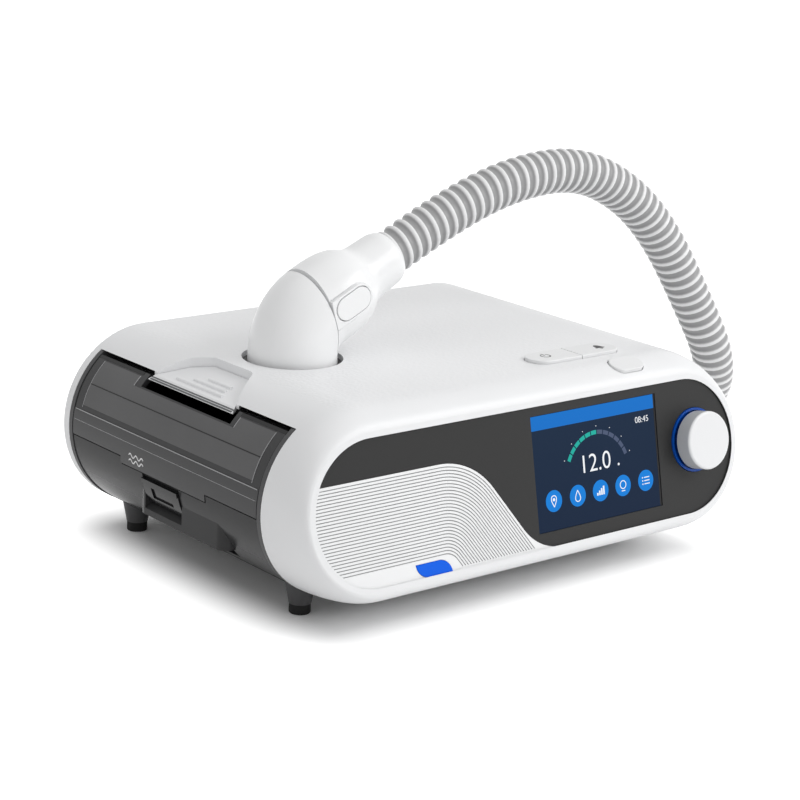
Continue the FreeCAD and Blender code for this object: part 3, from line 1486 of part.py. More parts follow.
def main_board():
    z0 = floor_top + board_lift
    top = z0 + board_thick
    board = box(board_x, board_x + board_length, board_y, board_y + board_width, z0, top)
    chips = []
    for share, size, height in ((0.3, 15.0, 2.0), (0.55, 9.0, 1.5), (0.8, 12.0, 8.0)):
        x = board_x + board_length * share - size / 2
        y = board_y + (board_width - size) / 2
        chips.append(box(x, x + size, y, y + size, top, top + height))
    return board.fuse(chips).cut(standoff_rods(0.1))


def standoff_rods(grow):
    places = [(x, y) for x in (board_x + 4.0, board_x + board_length - 4.0)
              for y in (board_y + 4.0, board_y + board_width - 4.0)]
    return Part.makeCompound([rod(1.6 + grow, Vector(x, y, floor_top), up, standoff_length) for x,
                              y in places])


def board_standoffs():
    stands = []
    for core in standoff_rods(0.0).Solids:
        middle = core.CenterOfMass
        stands.append(core.fuse(rod(3.2, Vector(middle.x, middle.y, floor_top), up,
                                    board_lift)).removeSplitter())
    return Part.makeCompound(stands)


# ---- back ----
def rear_panel():
    y0 = back_y - 1.2 - rear_panel_thick
    outline = Part.Face(stadium_wire(inner_half_width - panel_gap, case_height / 2 - shell_wall - panel_gap))
    outline.Placement = Placement(Vector(0, y0, case_mid_z), Rotation(along_x, 90))
    panel = outline.extrude(Vector(0, rear_panel_thick, 0))
    pocket = box(filter_x - filter_width / 2 - 2, filter_x + filter_width / 2 + 2, y0 - filter_thick - 2,
                 y0 + 1,
                 filter_z - filter_height / 2 - 2, filter_z + filter_height / 2 + 2)
    panel = panel.fuse(pocket)
    room = box(filter_x - filter_width / 2, filter_x + filter_width / 2, y0 - filter_thick, back_y + 1,
               filter_z - filter_height / 2, filter_z + filter_height / 2)
    slots = [box(filter_x - filter_width / 2 + 4, filter_x + filter_width / 2 - 4, y0 - filter_thick - 4,
                 back_y,
                 filter_z - filter_height / 2 + 4 + 6 * i,
                 filter_z - filter_height / 2 + 7 + 6 * i) for i in range(5)]
    socket = rod(inlet_radius + 1.5 + 0.1, Vector(inlet_x, y0 - 5, inlet_z), along_y, far)
    door_slot = box(filter_x - filter_width / 2 - 4, filter_x + filter_width / 2 + 4,
                    back_y - 1.5 - door_thick, back_y,
                    door_low_z() - 2.3, filter_z + filter_height / 2 + 3.4)
    ribs = [box(x - 0.8, x + 0.8, back_y - 1.3, back_y - 0.6, case_mid_z - 22,
                case_mid_z + 22) for x in (72, 78, 84, 90)]
    panel = panel.fuse(ribs).cut([room, socket, door_slot] + slots)
    panel = panel.cut(rod(door_pin_radius, Vector(filter_x - filter_width / 2 - 6, door_axis_y(),
                                                  door_low_z()),
                          along_x, filter_width + 12))
    return panel.removeSplitter()


def door_low_z():
    return filter_z - filter_height / 2 - 1.0


def door_axis_y():
    return back_y - 1.2 - door_thick / 2


def filter_door():
    """The hinged cover over the air filter, with slots for the air."""
    half = filter_width / 2 + 3.6
    plate = box(filter_x - half, filter_x + half, back_y - 1.2 - door_thick + 0.2, back_y - 1.2, door_low_z(),
                filter_z + filter_height / 2 + 3.0)
    barrel = rod(door_barrel_radius, Vector(filter_x - half, door_axis_y(), door_low_z()), along_x, 2 * half)
    slots = [box(filter_x - 22, filter_x + 22, 0, far, filter_z - 10 + 4.4 * i,
                 filter_z - 8 + 4.4 * i) for i in range(6)]
    pull = box(filter_x - 7, filter_x + 7, back_y - 1.3, back_y - 0.2, filter_z + filter_height / 2 - 1.0,
               filter_z + filter_height / 2 + 1.0)
    door = plate.fuse([barrel, pull]).cut(slots)
    return door.cut(rod(door_pin_radius + running_gap, Vector(-far, door_axis_y(), door_low_z()), along_x,
                        2 * far)).removeSplitter()


def door_pin():
    return rod(door_pin_radius, Vector(filter_x - filter_width / 2 - 5.5, door_axis_y(), door_low_z()),
               along_x,
               filter_width + 11)


def air_filter():
    y0 = back_y - 1.2 - rear_panel_thick
    return box(filter_x - filter_width / 2 + 0.2, filter_x + filter_width / 2 - 0.2, y0 - filter_thick,
               y0 - 0.6,
               filter_z - filter_height / 2 + 0.2, filter_z + filter_height / 2 - 0.2)


def power_inlet():
    y0 = back_y - 1.2 - rear_panel_thick
    flange = rod(inlet_radius + 1.5, Vector(inlet_x, y0, inlet_z), along_y, rear_panel_thick + 0.5)
    half = inlet_body / 2
    body = box(inlet_x - half, inlet_x + half, y0 - inlet_depth - 3, y0, inlet_z - half, inlet_z + half)
    bore = rod(inlet_radius - 1.0, Vector(inlet_x, y0 + rear_panel_thick + 0.5 - inlet_depth, inlet_z),
               along_y, far)
    pin = rod(1.0, Vector(inlet_x, y0 - inlet_depth, inlet_z), along_y, inlet_depth + 1.5)
    return flange.fuse(body).cut(bore).fuse(pin).removeSplitter()


nodes = {
    "outer_shell": outer_shell,
    "base_chassis": base_chassis,
    "rubber_feet": rubber_feet,
    "case_screws": case_screws,
    "tank_bay": tank_bay,
    "heater_insulator": heater_insulator,
    "heater_plate": heater_plate,
    "port_seal": port_seal,
    "tank_tub": tank_tub,
    "tank_base_plate": tank_base_plate,
    "tank_gasket": tank_gasket,
    "tank_roof": tank_roof,
    "lid_pins": lid_pins,
    "tank_lid": tank_lid,
    "latch_pin": latch_pin,
    "tank_latch": tank_latch,
    "release_pad": release_pad,
    "pad_pin": pad_pin,
    "outlet_collar": outlet_collar,
    "outlet_seal": outlet_seal,
    "outlet_elbow": outlet_elbow,
    "hose_connector": hose_connector,
    "cuff_button": cuff_button,
    "hose": hose,
    "hose_coil": hose_coil,
    "hose_tail": hose_tail,
    "mask_cuff": mask_cuff,
    "wave_panel": wave_panel,
    "status_tab": status_tab,
    "fascia": fascia,
    "screen_lens": screen_lens,
    "display_module": display_module,
    "panel_carrier": panel_carrier,
    "dial_light_ring": dial_light_ring,
    "dial_encoder": dial_encoder,
    "encoder_plunger": encoder_plunger,
    "dial_shaft": dial_shaft,
    "dial_knob": dial_knob,
    "power_key": lambda: key_half(-1),
    "mute_key": lambda: key_half(1),
    "menu_key": menu_key,
    "key_pad": key_pad,
    "key_board": key_board,
    "key_board_pegs": key_board_pegs,
    "blower_boot": blower_boot,
    "blower_motor": blower_motor,
    "motor_shaft": motor_shaft,
    "blower_housing": blower_housing,
    "blower_cover": blower_cover,
    "impeller": impeller,
    "main_board": main_board,
    "board_standoffs": board_standoffs,
    "rear_panel": rear_panel,
    "filter_door": filter_door,
    "door_pin": door_pin,
    "air_filter": air_filter,
    "power_inlet": power_inlet,
}

os.makedirs("parts", exist_ok=True)
for name, make in nodes.items():
    shape = make()
    print(name, len(shape.Solids), "solids, valid", shape.isValid(), "volume", round(shape.Volume, 1))
    shape.exportStep(os.path.join("parts", name + ".step"))
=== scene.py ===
import math

import bpy
import numpy as np
from mathutils import Matrix, Vector


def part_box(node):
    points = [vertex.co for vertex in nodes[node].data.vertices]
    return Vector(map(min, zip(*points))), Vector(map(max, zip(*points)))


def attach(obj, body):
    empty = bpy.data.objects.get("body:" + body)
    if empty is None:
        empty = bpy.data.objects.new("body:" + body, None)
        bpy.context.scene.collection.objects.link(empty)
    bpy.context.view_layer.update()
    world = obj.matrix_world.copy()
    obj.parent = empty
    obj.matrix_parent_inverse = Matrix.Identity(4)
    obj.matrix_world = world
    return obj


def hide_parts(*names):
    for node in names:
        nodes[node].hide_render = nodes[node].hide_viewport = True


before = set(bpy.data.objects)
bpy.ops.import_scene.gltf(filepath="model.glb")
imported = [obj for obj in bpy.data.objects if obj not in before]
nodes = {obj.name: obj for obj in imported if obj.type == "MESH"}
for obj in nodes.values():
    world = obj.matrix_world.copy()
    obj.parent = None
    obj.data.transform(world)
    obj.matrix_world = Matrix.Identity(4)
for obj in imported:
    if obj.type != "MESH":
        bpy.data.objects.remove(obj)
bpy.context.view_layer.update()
print("frame loaded:", len(nodes), "nodes")


def addObject(name, data):
    item = bpy.data.objects.new(name, data)
    bpy.context.scene.collection.objects.link(item)
    return item


cameraSettings = {
    "place": (-0.65707, -0.767316, 0.351504),
    "azimuth": -40.1366,        # degrees round the machine
    "elevation": 15.6255,
    "roll": 2.7479,
    "lens": 100.79,             # millimetres
    "sensor": 36.0,
    "near": 0.01,
    "far": 20.0,
}


def placeCamera(values):
    # the camera looks back along its own +Z, which azimuth and elevation give, then rolls about it
    around, above, roll = (math.radians(values[k]) for k in ("azimuth", "elevation", "roll"))
    back = Vector((math.sin(around) * math.cos(above), -math.cos(around) * math.cos(above), math.sin(above)))
    level = Vector((math.cos(around), math.sin(around), 0.0))
    upright = level.cross(-back)
    right = math.cos(roll) * level + math.sin(roll) * upright
    up = -math.sin(roll) * level + math.cos(roll) * upright
    data = bpy.data.cameras.new("mainCamera")
    data.lens = values["lens"]
    data.sensor_width = values["sensor"]
    data.clip_start = values["near"]
    data.clip_end = values["far"]
    camera = addObject("mainCamera", data)
    turn = Matrix((right, up, back)).transposed().to_4x4()
    camera.matrix_world = Matrix.Translation(values["place"]) @ turn
    bpy.context.scene.camera = camera


placeCamera(cameraSettings)
print("camera placed")

frontSettings = {
    "origin": (0.0, -0.0862, 0.0547),
    "lean": 12.0,               # degrees by which the front tips back
}
frontLean = math.radians(frontSettings["lean"])
frontOut = np.array([0, -math.cos(frontLean), math.sin(frontLean)])


def onFront(points):
    # x runs along the front, y up its leaning face and the third value out of it
    across = (1.0, 0, 0)
    up = (0, math.sin(frontLean), math.cos(frontLean))
    return frontSettings["origin"] + points @ np.array([across, up, frontOut])


def meshFrom(name, points, faces, smooth=False):
    mesh = bpy.data.meshes.new(name)
    mesh.from_pydata(points, [], faces)
    mesh.polygons.foreach_set("use_smooth", np.full(len(mesh.polygons), smooth))
    mesh.update()
    return mesh


def gridMesh(name, grid, closed=False):
    # grid[i, j] is the point at row i and column j; each four neighbours make one face
    rows, columns = grid.shape[:2]
    wide = columns if closed else columns - 1
    row, column = np.meshgrid(np.arange(rows - 1), np.arange(wide), indexing="ij")
    over = (column + 1) % columns
    near, far = row * columns, (row + 1) * columns
    faces = np.stack([near + column, near + over, far + over, far + column], -1)
    return meshFrom(name, grid.reshape(-1, 3), faces.reshape(-1, 4), smooth=True)


def setInputs(node, values):
    for socket, value in values.items():
        node.inputs[socket].default_value = value


def addNode(tree, kind, inputs=None, **settings):
    # a shader node: its settings are made first, because its sockets depend on them
    node = tree.nodes.new("ShaderNode" + kind)
    for setting, value in settings.items():
        setattr(node, setting, value)
    setInputs(node, inputs or {})
    return node


def newMaterial(name):
    material = bpy.data.materials.new(name)
    material.use_nodes = True
    return material, material.node_tree, material.node_tree.nodes["Principled BSDF"]


def smoothRange(tree, value, low, high):
    # rises smoothly from 0 where the value is low to 1 where it is high
    step = addNode(tree, "MapRange", {"From Min": low, "From Max": high}, interpolation_type="SMOOTHSTEP")
    tree.links.new(value, step.inputs["Value"])
    return step


def colourMix(tree, share, low, high=None):
    # the low colour where the share is 0; without a high one its socket B stays free
    colours = {"A": (*low, 1), "B": (*high, 1)} if high else {"A": (*low, 1)}
    mix = addNode(tree, "Mix", colours, data_type="RGBA")
    tree.links.new(share, mix.inputs["Factor"])
    return mix


def seenDirectly(tree):
    # 1 for the camera's rays, those off a gloss and those through a clear part, else 0
    path = addNode(tree, "LightPath")
    seen = path.outputs["Is Camera Ray"]
    for kind in ("Is Glossy Ray", "Is Transmission Ray"):
        either = addNode(tree, "Math", operation="MAXIMUM")
        tree.links.new(seen, either.inputs[0])
        tree.links.new(path.outputs[kind], either.inputs[1])
        seen = either.outputs[0]
    return seen


skinSettings = {
    "driftScale": 22.0,         # patches of drift per metre
    "driftDetail": 3.0,
    "grainDetail": 2.0,
    "grainDepth": 0.0002,
    "coatRoughness": 0.08,
    "usual": {"drift": 0.04, "unevenness": 0.08, "grain": 2500.0, "bump": 0.05, "coat": 0.0,
              "metallic": 0.0, "gloss": 0.5, "clear": 0.0},
}


def newGroup(name, inputs, outputs):
    # inputs give each socket's label, kind and value, outputs its label and kind
    group = bpy.data.node_groups.new(name, "ShaderNodeTree")
    for label, kind, value in inputs:
        socket = group.interface.new_socket(label, in_out="INPUT", socket_type="NodeSocket" + kind)
        socket.default_value = value
    for label, kind in outputs:
        group.interface.new_socket(label, in_out="OUTPUT", socket_type="NodeSocket" + kind)
    return group, group.nodes.new("NodeGroupInput"), group.nodes.new("NodeGroupOutput")


def mouldedSurfaceGroup(values):
    # a moulded plastic skin: its colour drifts slightly, its gloss is uneven and it has a fine grain
    group, source, sink = newGroup(
        "mouldedSurface",
        [("Colour", "Color", (0.8, 0.8, 0.8, 1)), ("Drift", "Float", 0.03), ("Roughness", "Float", 0.4),
         ("Unevenness", "Float", 0.06), ("Grain Scale", "Float", 2500.0)],
        [("Colour", "Color"), ("Roughness", "Float"), ("Grain", "Float")])
    link = group.links.new
    where = addNode(group, "TexCoord")
    wide = addNode(group, "TexNoise", {"Scale": values["driftScale"], "Detail": values["driftDetail"]})
    fine = addNode(group, "TexNoise", {"Detail": values["grainDetail"]})
    link(where.outputs["Object"], wide.inputs["Vector"])
    link(where.outputs["Object"], fine.inputs["Vector"])
    link(source.outputs["Grain Scale"], fine.inputs["Scale"])
    # the pattern runs from -0.5 to 0.5: colour * (1 + drift * pattern), roughness + unevenness * pattern
    centred = addNode(group, "Math", {1: 0.5}, operation="SUBTRACT")
    strength = addNode(group, "Math", {2: 1.0}, operation="MULTIPLY_ADD")
    tint = addNode(group, "VectorMath", operation="SCALE")
    uneven = addNode(group, "Math", operation="MULTIPLY_ADD")
    link(wide.outputs["Fac"], centred.inputs[0])
    link(centred.outputs[0], strength.inputs[0])
    link(source.outputs["Drift"], strength.inputs[1])
    link(source.outputs["Colour"], tint.inputs[0])
    link(strength.outputs[0], tint.inputs["Scale"])
    link(centred.outputs[0], uneven.inputs[0])
    link(source.outputs["Unevenness"], uneven.inputs[1])
    link(source.outputs["Roughness"], uneven.inputs[2])
    link(tint.outputs[0], sink.inputs["Colour"])
    link(uneven.outputs[0], sink.inputs["Roughness"])
    link(fine.outputs["Fac"], sink.inputs["Grain"])
    return group


mouldedSurface = mouldedSurfaceGroup(skinSettings)


def plasticFinish(name, values):
    look = {**skinSettings["usual"], **values}
    material, tree, skin = newMaterial(name)
    link = tree.links.new
    group = addNode(
        tree, "Group",
        {"Colour": (*look["colour"], 1), "Drift": look["drift"], "Roughness": look["roughness"],
         "Unevenness": look["unevenness"], "Grain Scale": look["grain"]},
        node_tree=mouldedSurface)
    relief = addNode(tree, "Bump", {"Strength": look["bump"], "Distance": skinSettings["grainDepth"]})
    link(group.outputs["Grain"], relief.inputs["Height"])
    link(relief.outputs["Normal"], skin.inputs["Normal"])
    link(group.outputs["Colour"], skin.inputs["Base Color"])
    link(group.outputs["Roughness"], skin.inputs["Roughness"])
    setInputs(skin, {
        "Metallic": look["metallic"], "Coat Weight": look["coat"], "Specular IOR Level": look["gloss"],
        "Coat Roughness": skinSettings["coatRoughness"], "Transmission Weight": look["clear"]})
    return material


finishSettings = {
    "whiteShell": {"colour": (0.86, 0.865, 0.875), "roughness": 0.36},
    "whiteGloss": {"colour": (0.91, 0.915, 0.92), "roughness": 0.3, "bump": 0.02, "coat": 0.1},
    "waveWhite": {"colour": (0.92, 0.925, 0.93), "roughness": 0.3, "bump": 0.02},
    "knobWhite": {"colour": (0.84, 0.845, 0.855), "roughness": 0.28, "drift": 0.02, "unevenness": 0.01,
                  "bump": 0.01},
    "keyGrey": {"colour": (0.82, 0.825, 0.83), "roughness": 0.4},
    "darkBase": {"colour": (0.072, 0.072, 0.074), "roughness": 0.5, "drift": 0.2, "bump": 0.3, "gloss": 0.3},
    "smoked": {"colour": (0.050, 0.050, 0.052), "roughness": 0.12, "drift": 0.3, "unevenness": 0.04,
               "bump": 0.0, "gloss": 0.2, "clear": 0.12},
    "smokedTub": {"colour": (0.046, 0.046, 0.047), "roughness": 0.22, "drift": 0.4, "unevenness": 0.05,
                  "bump": 0.0, "gloss": 0.1},
    "smokedPane": {"colour": (0.112, 0.112, 0.114), "roughness": 0.16, "drift": 0.3, "unevenness": 0.02,
                   "bump": 0.0, "gloss": 0.25},
    # the latch's and seams' black, also used for a painted shadow on the screen
    "blackAndPaintedShadow": {"colour": (0.012, 0.012, 0.013), "roughness": 0.16, "drift": 0.2, "bump": 0.02,
                   "gloss": 0.22},
    # painted highlight: light grey for the bright lines on the lid's edges
    "paintedHighlightGrey": {"colour": (0.36, 0.36, 0.37), "roughness": 0.2, "drift": 0.2, "bump": 0.0},
    "fascia": {"colour": (0.021, 0.021, 0.021), "roughness": 0.45, "drift": 0.1, "bump": 0.12,
               "gloss": 0.25},
    "ringBlue": {"colour": (0.003, 0.075, 0.42), "roughness": 0.25, "bump": 0.02, "gloss": 0.3},
    "blue": {"colour": (0.001, 0.125, 0.84), "roughness": 0.25, "bump": 0.02, "gloss": 0.15},
    # inner parts' grey, also used for painted shade on the pad's lip
    "innerGreyAndPaintedShade": {"colour": (0.12, 0.125, 0.13), "roughness": 0.6, "drift": 0.1, "bump": 0.2},
    "seal": {"colour": (0.06, 0.06, 0.065), "roughness": 0.75, "drift": 0.1, "bump": 0.2},
    "footRubber": {"colour": (0.012, 0.012, 0.012), "roughness": 0.8, "drift": 0.2, "bump": 0.3,
                   "gloss": 0.3},
    "steel": {"colour": (0.56, 0.56, 0.57), "roughness": 0.3, "drift": 0.1, "bump": 0.1, "metallic": 1.0},
    "aluminium": {"colour": (0.66, 0.66, 0.67), "roughness": 0.4, "drift": 0.1, "bump": 0.1,
                  "metallic": 1.0},
    "boardGreen": {"colour": (0.01, 0.10, 0.04), "roughness": 0.5, "drift": 0.2, "bump": 0.1},
    "foam": {"colour": (0.45, 0.45, 0.46), "roughness": 0.95, "drift": 0.3, "grain": 900.0, "bump": 1.0},
    "glyphGrey": {"colour": (0.035, 0.035, 0.037), "roughness": 0.5, "bump": 0.02},
    # print's white, also used for a painted highlight on the pad's lip
    "printWhiteAndPaintedHighlight": {"colour": (0.78, 0.78, 0.79), "roughness": 0.4, "bump": 0.02},
}
finishes = {name: plasticFinish(name, values) for name, values in finishSettings.items()}

pebbleSettings = {"from": 0.0945, "full": 0.0962, "scale": 620.0, "strength": 0.35, "depth": 0.0004}


def addPebbles(material, values):
    # a pebbled texture that begins just under the flat top
    tree = material.node_tree
    link = tree.links.new
    where = addNode(tree, "TexCoord")
    height = addNode(tree, "SeparateXYZ")
    link(where.outputs["Object"], height.inputs[0])
    top = smoothRange(tree, height.outputs["Z"], values["from"], values["full"])
    pebble = addNode(tree, "TexVoronoi", {"Scale": values["scale"]}, feature="SMOOTH_F1")
    link(where.outputs["Object"], pebble.inputs["Vector"])
    amount = addNode(tree, "Math", operation="MULTIPLY")
    link(top.outputs["Result"], amount.inputs[0])
    link(pebble.outputs["Distance"], amount.inputs[1])
    relief = addNode(tree, "Bump", {"Strength": values["strength"], "Distance": values["depth"]})
    link(amount.outputs[0], relief.inputs["Height"])
    link(relief.outputs["Normal"], tree.nodes["Bump"].inputs["Normal"])    # under the fine grain


addPebbles(finishes["whiteShell"], pebbleSettings)

depthSettings = {
    # the dial's satin skirt in its own grey, and painted shade in the front panel's grooves
    "knobWhite": {"lowTo": 0.0076, "highFrom": 0.0086, "lowColour": (0.60, 0.61, 0.625)},
    # painted shade: the grooves' floors are coloured darker than the panel's white
    "waveWhite": {"lowTo": -0.00118, "highFrom": -0.00088, "lowColour": (0.40, 0.405, 0.41)},
}


def addDepthToneAndPaintedShade(material, values):
    # a darker colour below one level and the full colour above another, measured out of the leaning front
    # on the dial this is the skirt's own grey, on the front panel painted shade in the grooves
    tree = material.node_tree
    link = tree.links.new
    where = addNode(tree, "TexCoord")
    out = addNode(tree, "VectorMath", {1: frontOut}, operation="DOT_PRODUCT")
    link(where.outputs["Object"], out.inputs[0])
    start = frontOut @ frontSettings["origin"]
    face = smoothRange(tree, out.outputs["Value"], start + values["lowTo"], start + values["highFrom"])
    blend = colourMix(tree, face.outputs["Result"], values["lowColour"])
    skin = tree.nodes["Principled BSDF"]
    link(skin.inputs["Base Color"].links[0].from_socket, blend.inputs["B"])
    link(blend.outputs["Result"], skin.inputs["Base Color"])


for name, values in depthSettings.items():
    addDepthToneAndPaintedShade(finishes[name], values)

displaySettings = {
    "low": 0.031,               # heights between which a colour runs from its first to its second value
    "high": 0.081,
    "light": 1.0,
    "glass": {"Base Color": (0.01, 0.01, 0.012, 1), "Roughness": 0.15, "Specular IOR Level": 0.04},
    "colours": {
        "screenGlass": ((0.0020, 0.0140, 0.0420), (0.0060, 0.0210, 0.0510)),
        "screenBar": ((0.001, 0.110, 0.480), (0.003, 0.165, 0.580)),
        "screenIcon": ((0.002, 0.200, 0.680), (0.004, 0.240, 0.740)),
        "screenTeal": ((0.008, 0.340, 0.300), (0.016, 0.460, 0.370)),
        "screenDim": ((0.060, 0.085, 0.150), (0.080, 0.105, 0.180)),
        "screenWhite": ((0.90, 0.93, 0.96), (0.95, 0.97, 1.0)),
    },
}


def litFinish(name, values):
    # a lit area of the display under clear glass, a little brighter towards the top
    material, tree, skin = newMaterial(name)
    where = addNode(tree, "TexCoord")
    height = addNode(tree, "SeparateXYZ")
    tree.links.new(where.outputs["Object"], height.inputs[0])
    share = addNode(tree, "MapRange", {"From Min": values["low"], "From Max": values["high"]})
    tree.links.new(height.outputs["Z"], share.inputs["Value"])
    tint = colourMix(tree, share.outputs["Result"], *values["colours"][name])
    tree.links.new(tint.outputs["Result"], skin.inputs["Emission Color"])
    setInputs(skin, {"Emission Strength": values["light"], **values["glass"]})
    return material


for name in displaySettings["colours"]:
    finishes[name] = litFinish(name, displaySettings)

hoseSkin = {
    "ridge": (0.86, 0.86, 0.865),
    "valley": (0.32, 0.32, 0.325),
    "edge": (0.25, 0.85),       # shares of the rib's height between which one turns into the other
    "roughness": 0.4,
}


def hoseFinish(values):
    # white where the spiral rib stands out, grey in the thin wall between its turns
    material, tree, skin = newMaterial("hoseShell")
    rib = addNode(tree, "Attribute", attribute_name="rib")
    edge = smoothRange(tree, rib.outputs["Fac"], *values["edge"])
    blend = colourMix(tree, edge.outputs["Result"], values["valley"], values["ridge"])
    tree.links.new(blend.outputs["Result"], skin.inputs["Base Color"])
    setInputs(skin, {"Roughness": values["roughness"]})
    return material


finishes["hoseShell"] = hoseFinish(hoseSkin)

finishNodes = {
    "whiteShell": ["outer_shell", "release_pad", "rear_panel", "filter_door"],
    "whiteGloss": ["outlet_elbow", "hose_connector", "cuff_button", "mask_cuff"],
    "waveWhite": ["wave_panel"],
    "knobWhite": ["dial_knob"],
    "keyGrey": ["power_key", "mute_key", "menu_key"],
    "hoseShell": ["hose", "hose_coil", "hose_tail"],
    "darkBase": ["base_chassis", "tank_bay", "power_inlet", "outlet_collar"],
    "smoked": ["tank_roof", "tank_lid"],
    "smokedTub": ["tank_tub"],
    "blackAndPaintedShadow": ["tank_latch"],
    "fascia": ["fascia"],
    "ringBlue": ["dial_light_ring"],
    "blue": ["status_tab"],
    "screenGlass": ["screen_lens"],
    "innerGreyAndPaintedShade": ["display_module", "panel_carrier", "dial_encoder", "encoder_plunger", "key_board_pegs",
                  "blower_housing", "blower_cover", "impeller", "board_standoffs", "heater_insulator"],
    "seal": ["port_seal", "outlet_seal", "tank_gasket", "key_pad", "blower_boot"],
    "footRubber": ["rubber_feet"],
    "steel": ["case_screws", "lid_pins", "latch_pin", "pad_pin", "dial_shaft", "motor_shaft", "door_pin",
              "tank_base_plate", "blower_motor"],
    "aluminium": ["heater_plate"],
    "boardGreen": ["key_board", "main_board"],
    "foam": ["air_filter"],
}
for finishName, nodeNames in finishNodes.items():
    for nodeName in nodeNames:
        mesh = nodes[nodeName].data
        mesh.materials.clear()
        mesh.materials.append(finishes[finishName])
print("finishes given to", sum(len(nodeNames) for nodeNames in finishNodes.values()), "nodes")

hoseSettings = {
    "route": [(-0.01301, 0.01015, 0.13829), (0.02, 0.01015, 0.1544), (0.062, 0.01015, 0.168),
              (0.104, 0.01015, 0.1705), (0.140, 0.01015, 0.155), (0.167, 0.01015, 0.131),
              (0.191, 0.01015, 0.0985), (0.219, 0.0105, 0.0574), (0.236, 0.031, 0.028),
              (0.244, 0.064, 0.0112), (0.2465, 0.104, 0.0112), (0.2466, 0.143, 0.0112)],
    "coilCentre": (0.133, 0.2205, 0.0112),
    "coilFrom": -20.0,          # degrees, anticlockwise seen from above
    "coilTo": 565.0,
    "coilOuter": 0.1103,
    "coilInner": 0.088,
    "stepsIn": (250.7, 320.0),  # where the outer turn moves in to become the inner one
    "coilPoints": 26,
    "tail": [(0.0738, 0.1563, 0.0224), (0.0984, 0.140, 0.0305), (0.1265, 0.1327, 0.036),
             (0.1525, 0.1332, 0.0365)],
    "splineOrder": 3,
    "splineSteps": 16,
    "ribRadius": 0.011,
    "wallRadius": 0.0096,
    "ribPitch": 0.0058,
    "ribNarrowing": 1.7,        # a higher power makes a narrower ridge
    "ringsPerPitch": 10,
    "ringsEased": 4,            # rings to each side over which a ring's tilt is averaged
    "sides": 26,
}


def coilPoints(values):
    # control points round a circle, set out by 1 / cos(half a step) so that the spline runs on the circle
    angle = np.linspace(values["coilFrom"], values["coilTo"], values["coilPoints"])
    first, last = values["stepsIn"]
    t = np.clip((angle - first) / (last - first), 0, 1)
    radius = values["coilOuter"] + (values["coilInner"] - values["coilOuter"]) * t * t * (3 - 2 * t)
    radius = radius / math.cos(math.radians(angle[1] - angle[0]) / 2)
    turn = np.radians(angle)
    x, y, z = values["coilCentre"]
    return np.stack([x + radius * np.cos(turn), y + radius * np.sin(turn), np.full(len(turn), z)], -1)


def meshPoints(mesh):
    points = np.zeros(len(mesh.vertices) * 3)
    mesh.vertices.foreach_get("co", points)
    return points.reshape(-1, 3)


def meshOfCurve(name, curve):
    holder = addObject(name, curve)
    bpy.context.view_layer.update()
    mesh = bpy.data.meshes.new_from_object(holder)
    bpy.data.objects.remove(holder)
    return mesh


def splineLine(points, values):
    # the smooth line through the control points, as Blender gives it for a curve without thickness
    curve = bpy.data.curves.new("hoseLine", "CURVE")
    curve.dimensions = "3D"
    curve.resolution_u = values["splineSteps"]
    spline = curve.splines.new("NURBS")
    spline.points.add(len(points) - 1)
    spline.points.foreach_set("co", np.c_[points, np.ones(len(points))].ravel())
    spline.order_u = values["splineOrder"]
    spline.use_endpoint_u = True
    mesh = meshOfCurve("hoseLine", curve)
    line = meshPoints(mesh)
    bpy.data.meshes.remove(mesh)
    return line


def unitVectors(vectors):
    return vectors / np.linalg.norm(vectors, axis=1, keepdims=True)


def makeHose(values):
    line = splineLine(np.vstack([values["route"], coilPoints(values), values["tail"]]), values)
    along = np.r_[0, np.cumsum(np.linalg.norm(np.diff(line, axis=0), axis=1))]
    length = along[-1]
    turns = round(length / values["ribPitch"])
    s = np.linspace(0, length, turns * values["ringsPerPitch"] + 1)
    centre = np.stack([np.interp(s, along, line[:, k]) for k in range(3)], -1)
    # each ring stands square to the line, whose corners are eased by a running mean
    eased = values["ringsEased"]
    padded = np.pad(centre, ((eased, eased), (0, 0)), mode="edge")
    window = np.ones(2 * eased + 1) / (2 * eased + 1)
    smooth = np.stack([np.convolve(padded[:, k], window, "valid") for k in range(3)], -1)
    tangent = unitVectors(np.gradient(smooth, axis=0))
    side = unitVectors(np.cross(tangent, (0, 0, 1.0)))
    upward = np.cross(side, tangent)
    # round the line by angle a; the rib is a spiral whose height depends on s / pitch - a / full turn
    a = np.arange(values["sides"]) / values["sides"] * 2 * np.pi
    phase = (s * turns / length)[:, None] - a[None, :] / (2 * np.pi)
    rib = (0.5 + 0.5 * np.cos(2 * np.pi * phase)) ** values["ribNarrowing"]
    radius = values["wallRadius"] + (values["ribRadius"] - values["wallRadius"]) * rib
    ring = np.cos(a)[None, :, None] * side[:, None] + np.sin(a)[None, :, None] * upward[:, None]
    mesh = gridMesh("hoseTube", centre[:, None] + radius[..., None] * ring, closed=True)
    mark = mesh.attributes.new("rib", "FLOAT", "POINT")
    mark.data.foreach_set("value", rib.ravel().astype(np.float32))
    mesh.materials.append(finishes["hoseShell"])
    return addObject("hoseTube", mesh), line, length


hoseTube, hoseLine, hoseLength = makeHose(hoseSettings)
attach(hoseTube, "hose_end")
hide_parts("hose", "hose_coil", "hose_tail")
print("hose made, metres long:", round(hoseLength, 3))


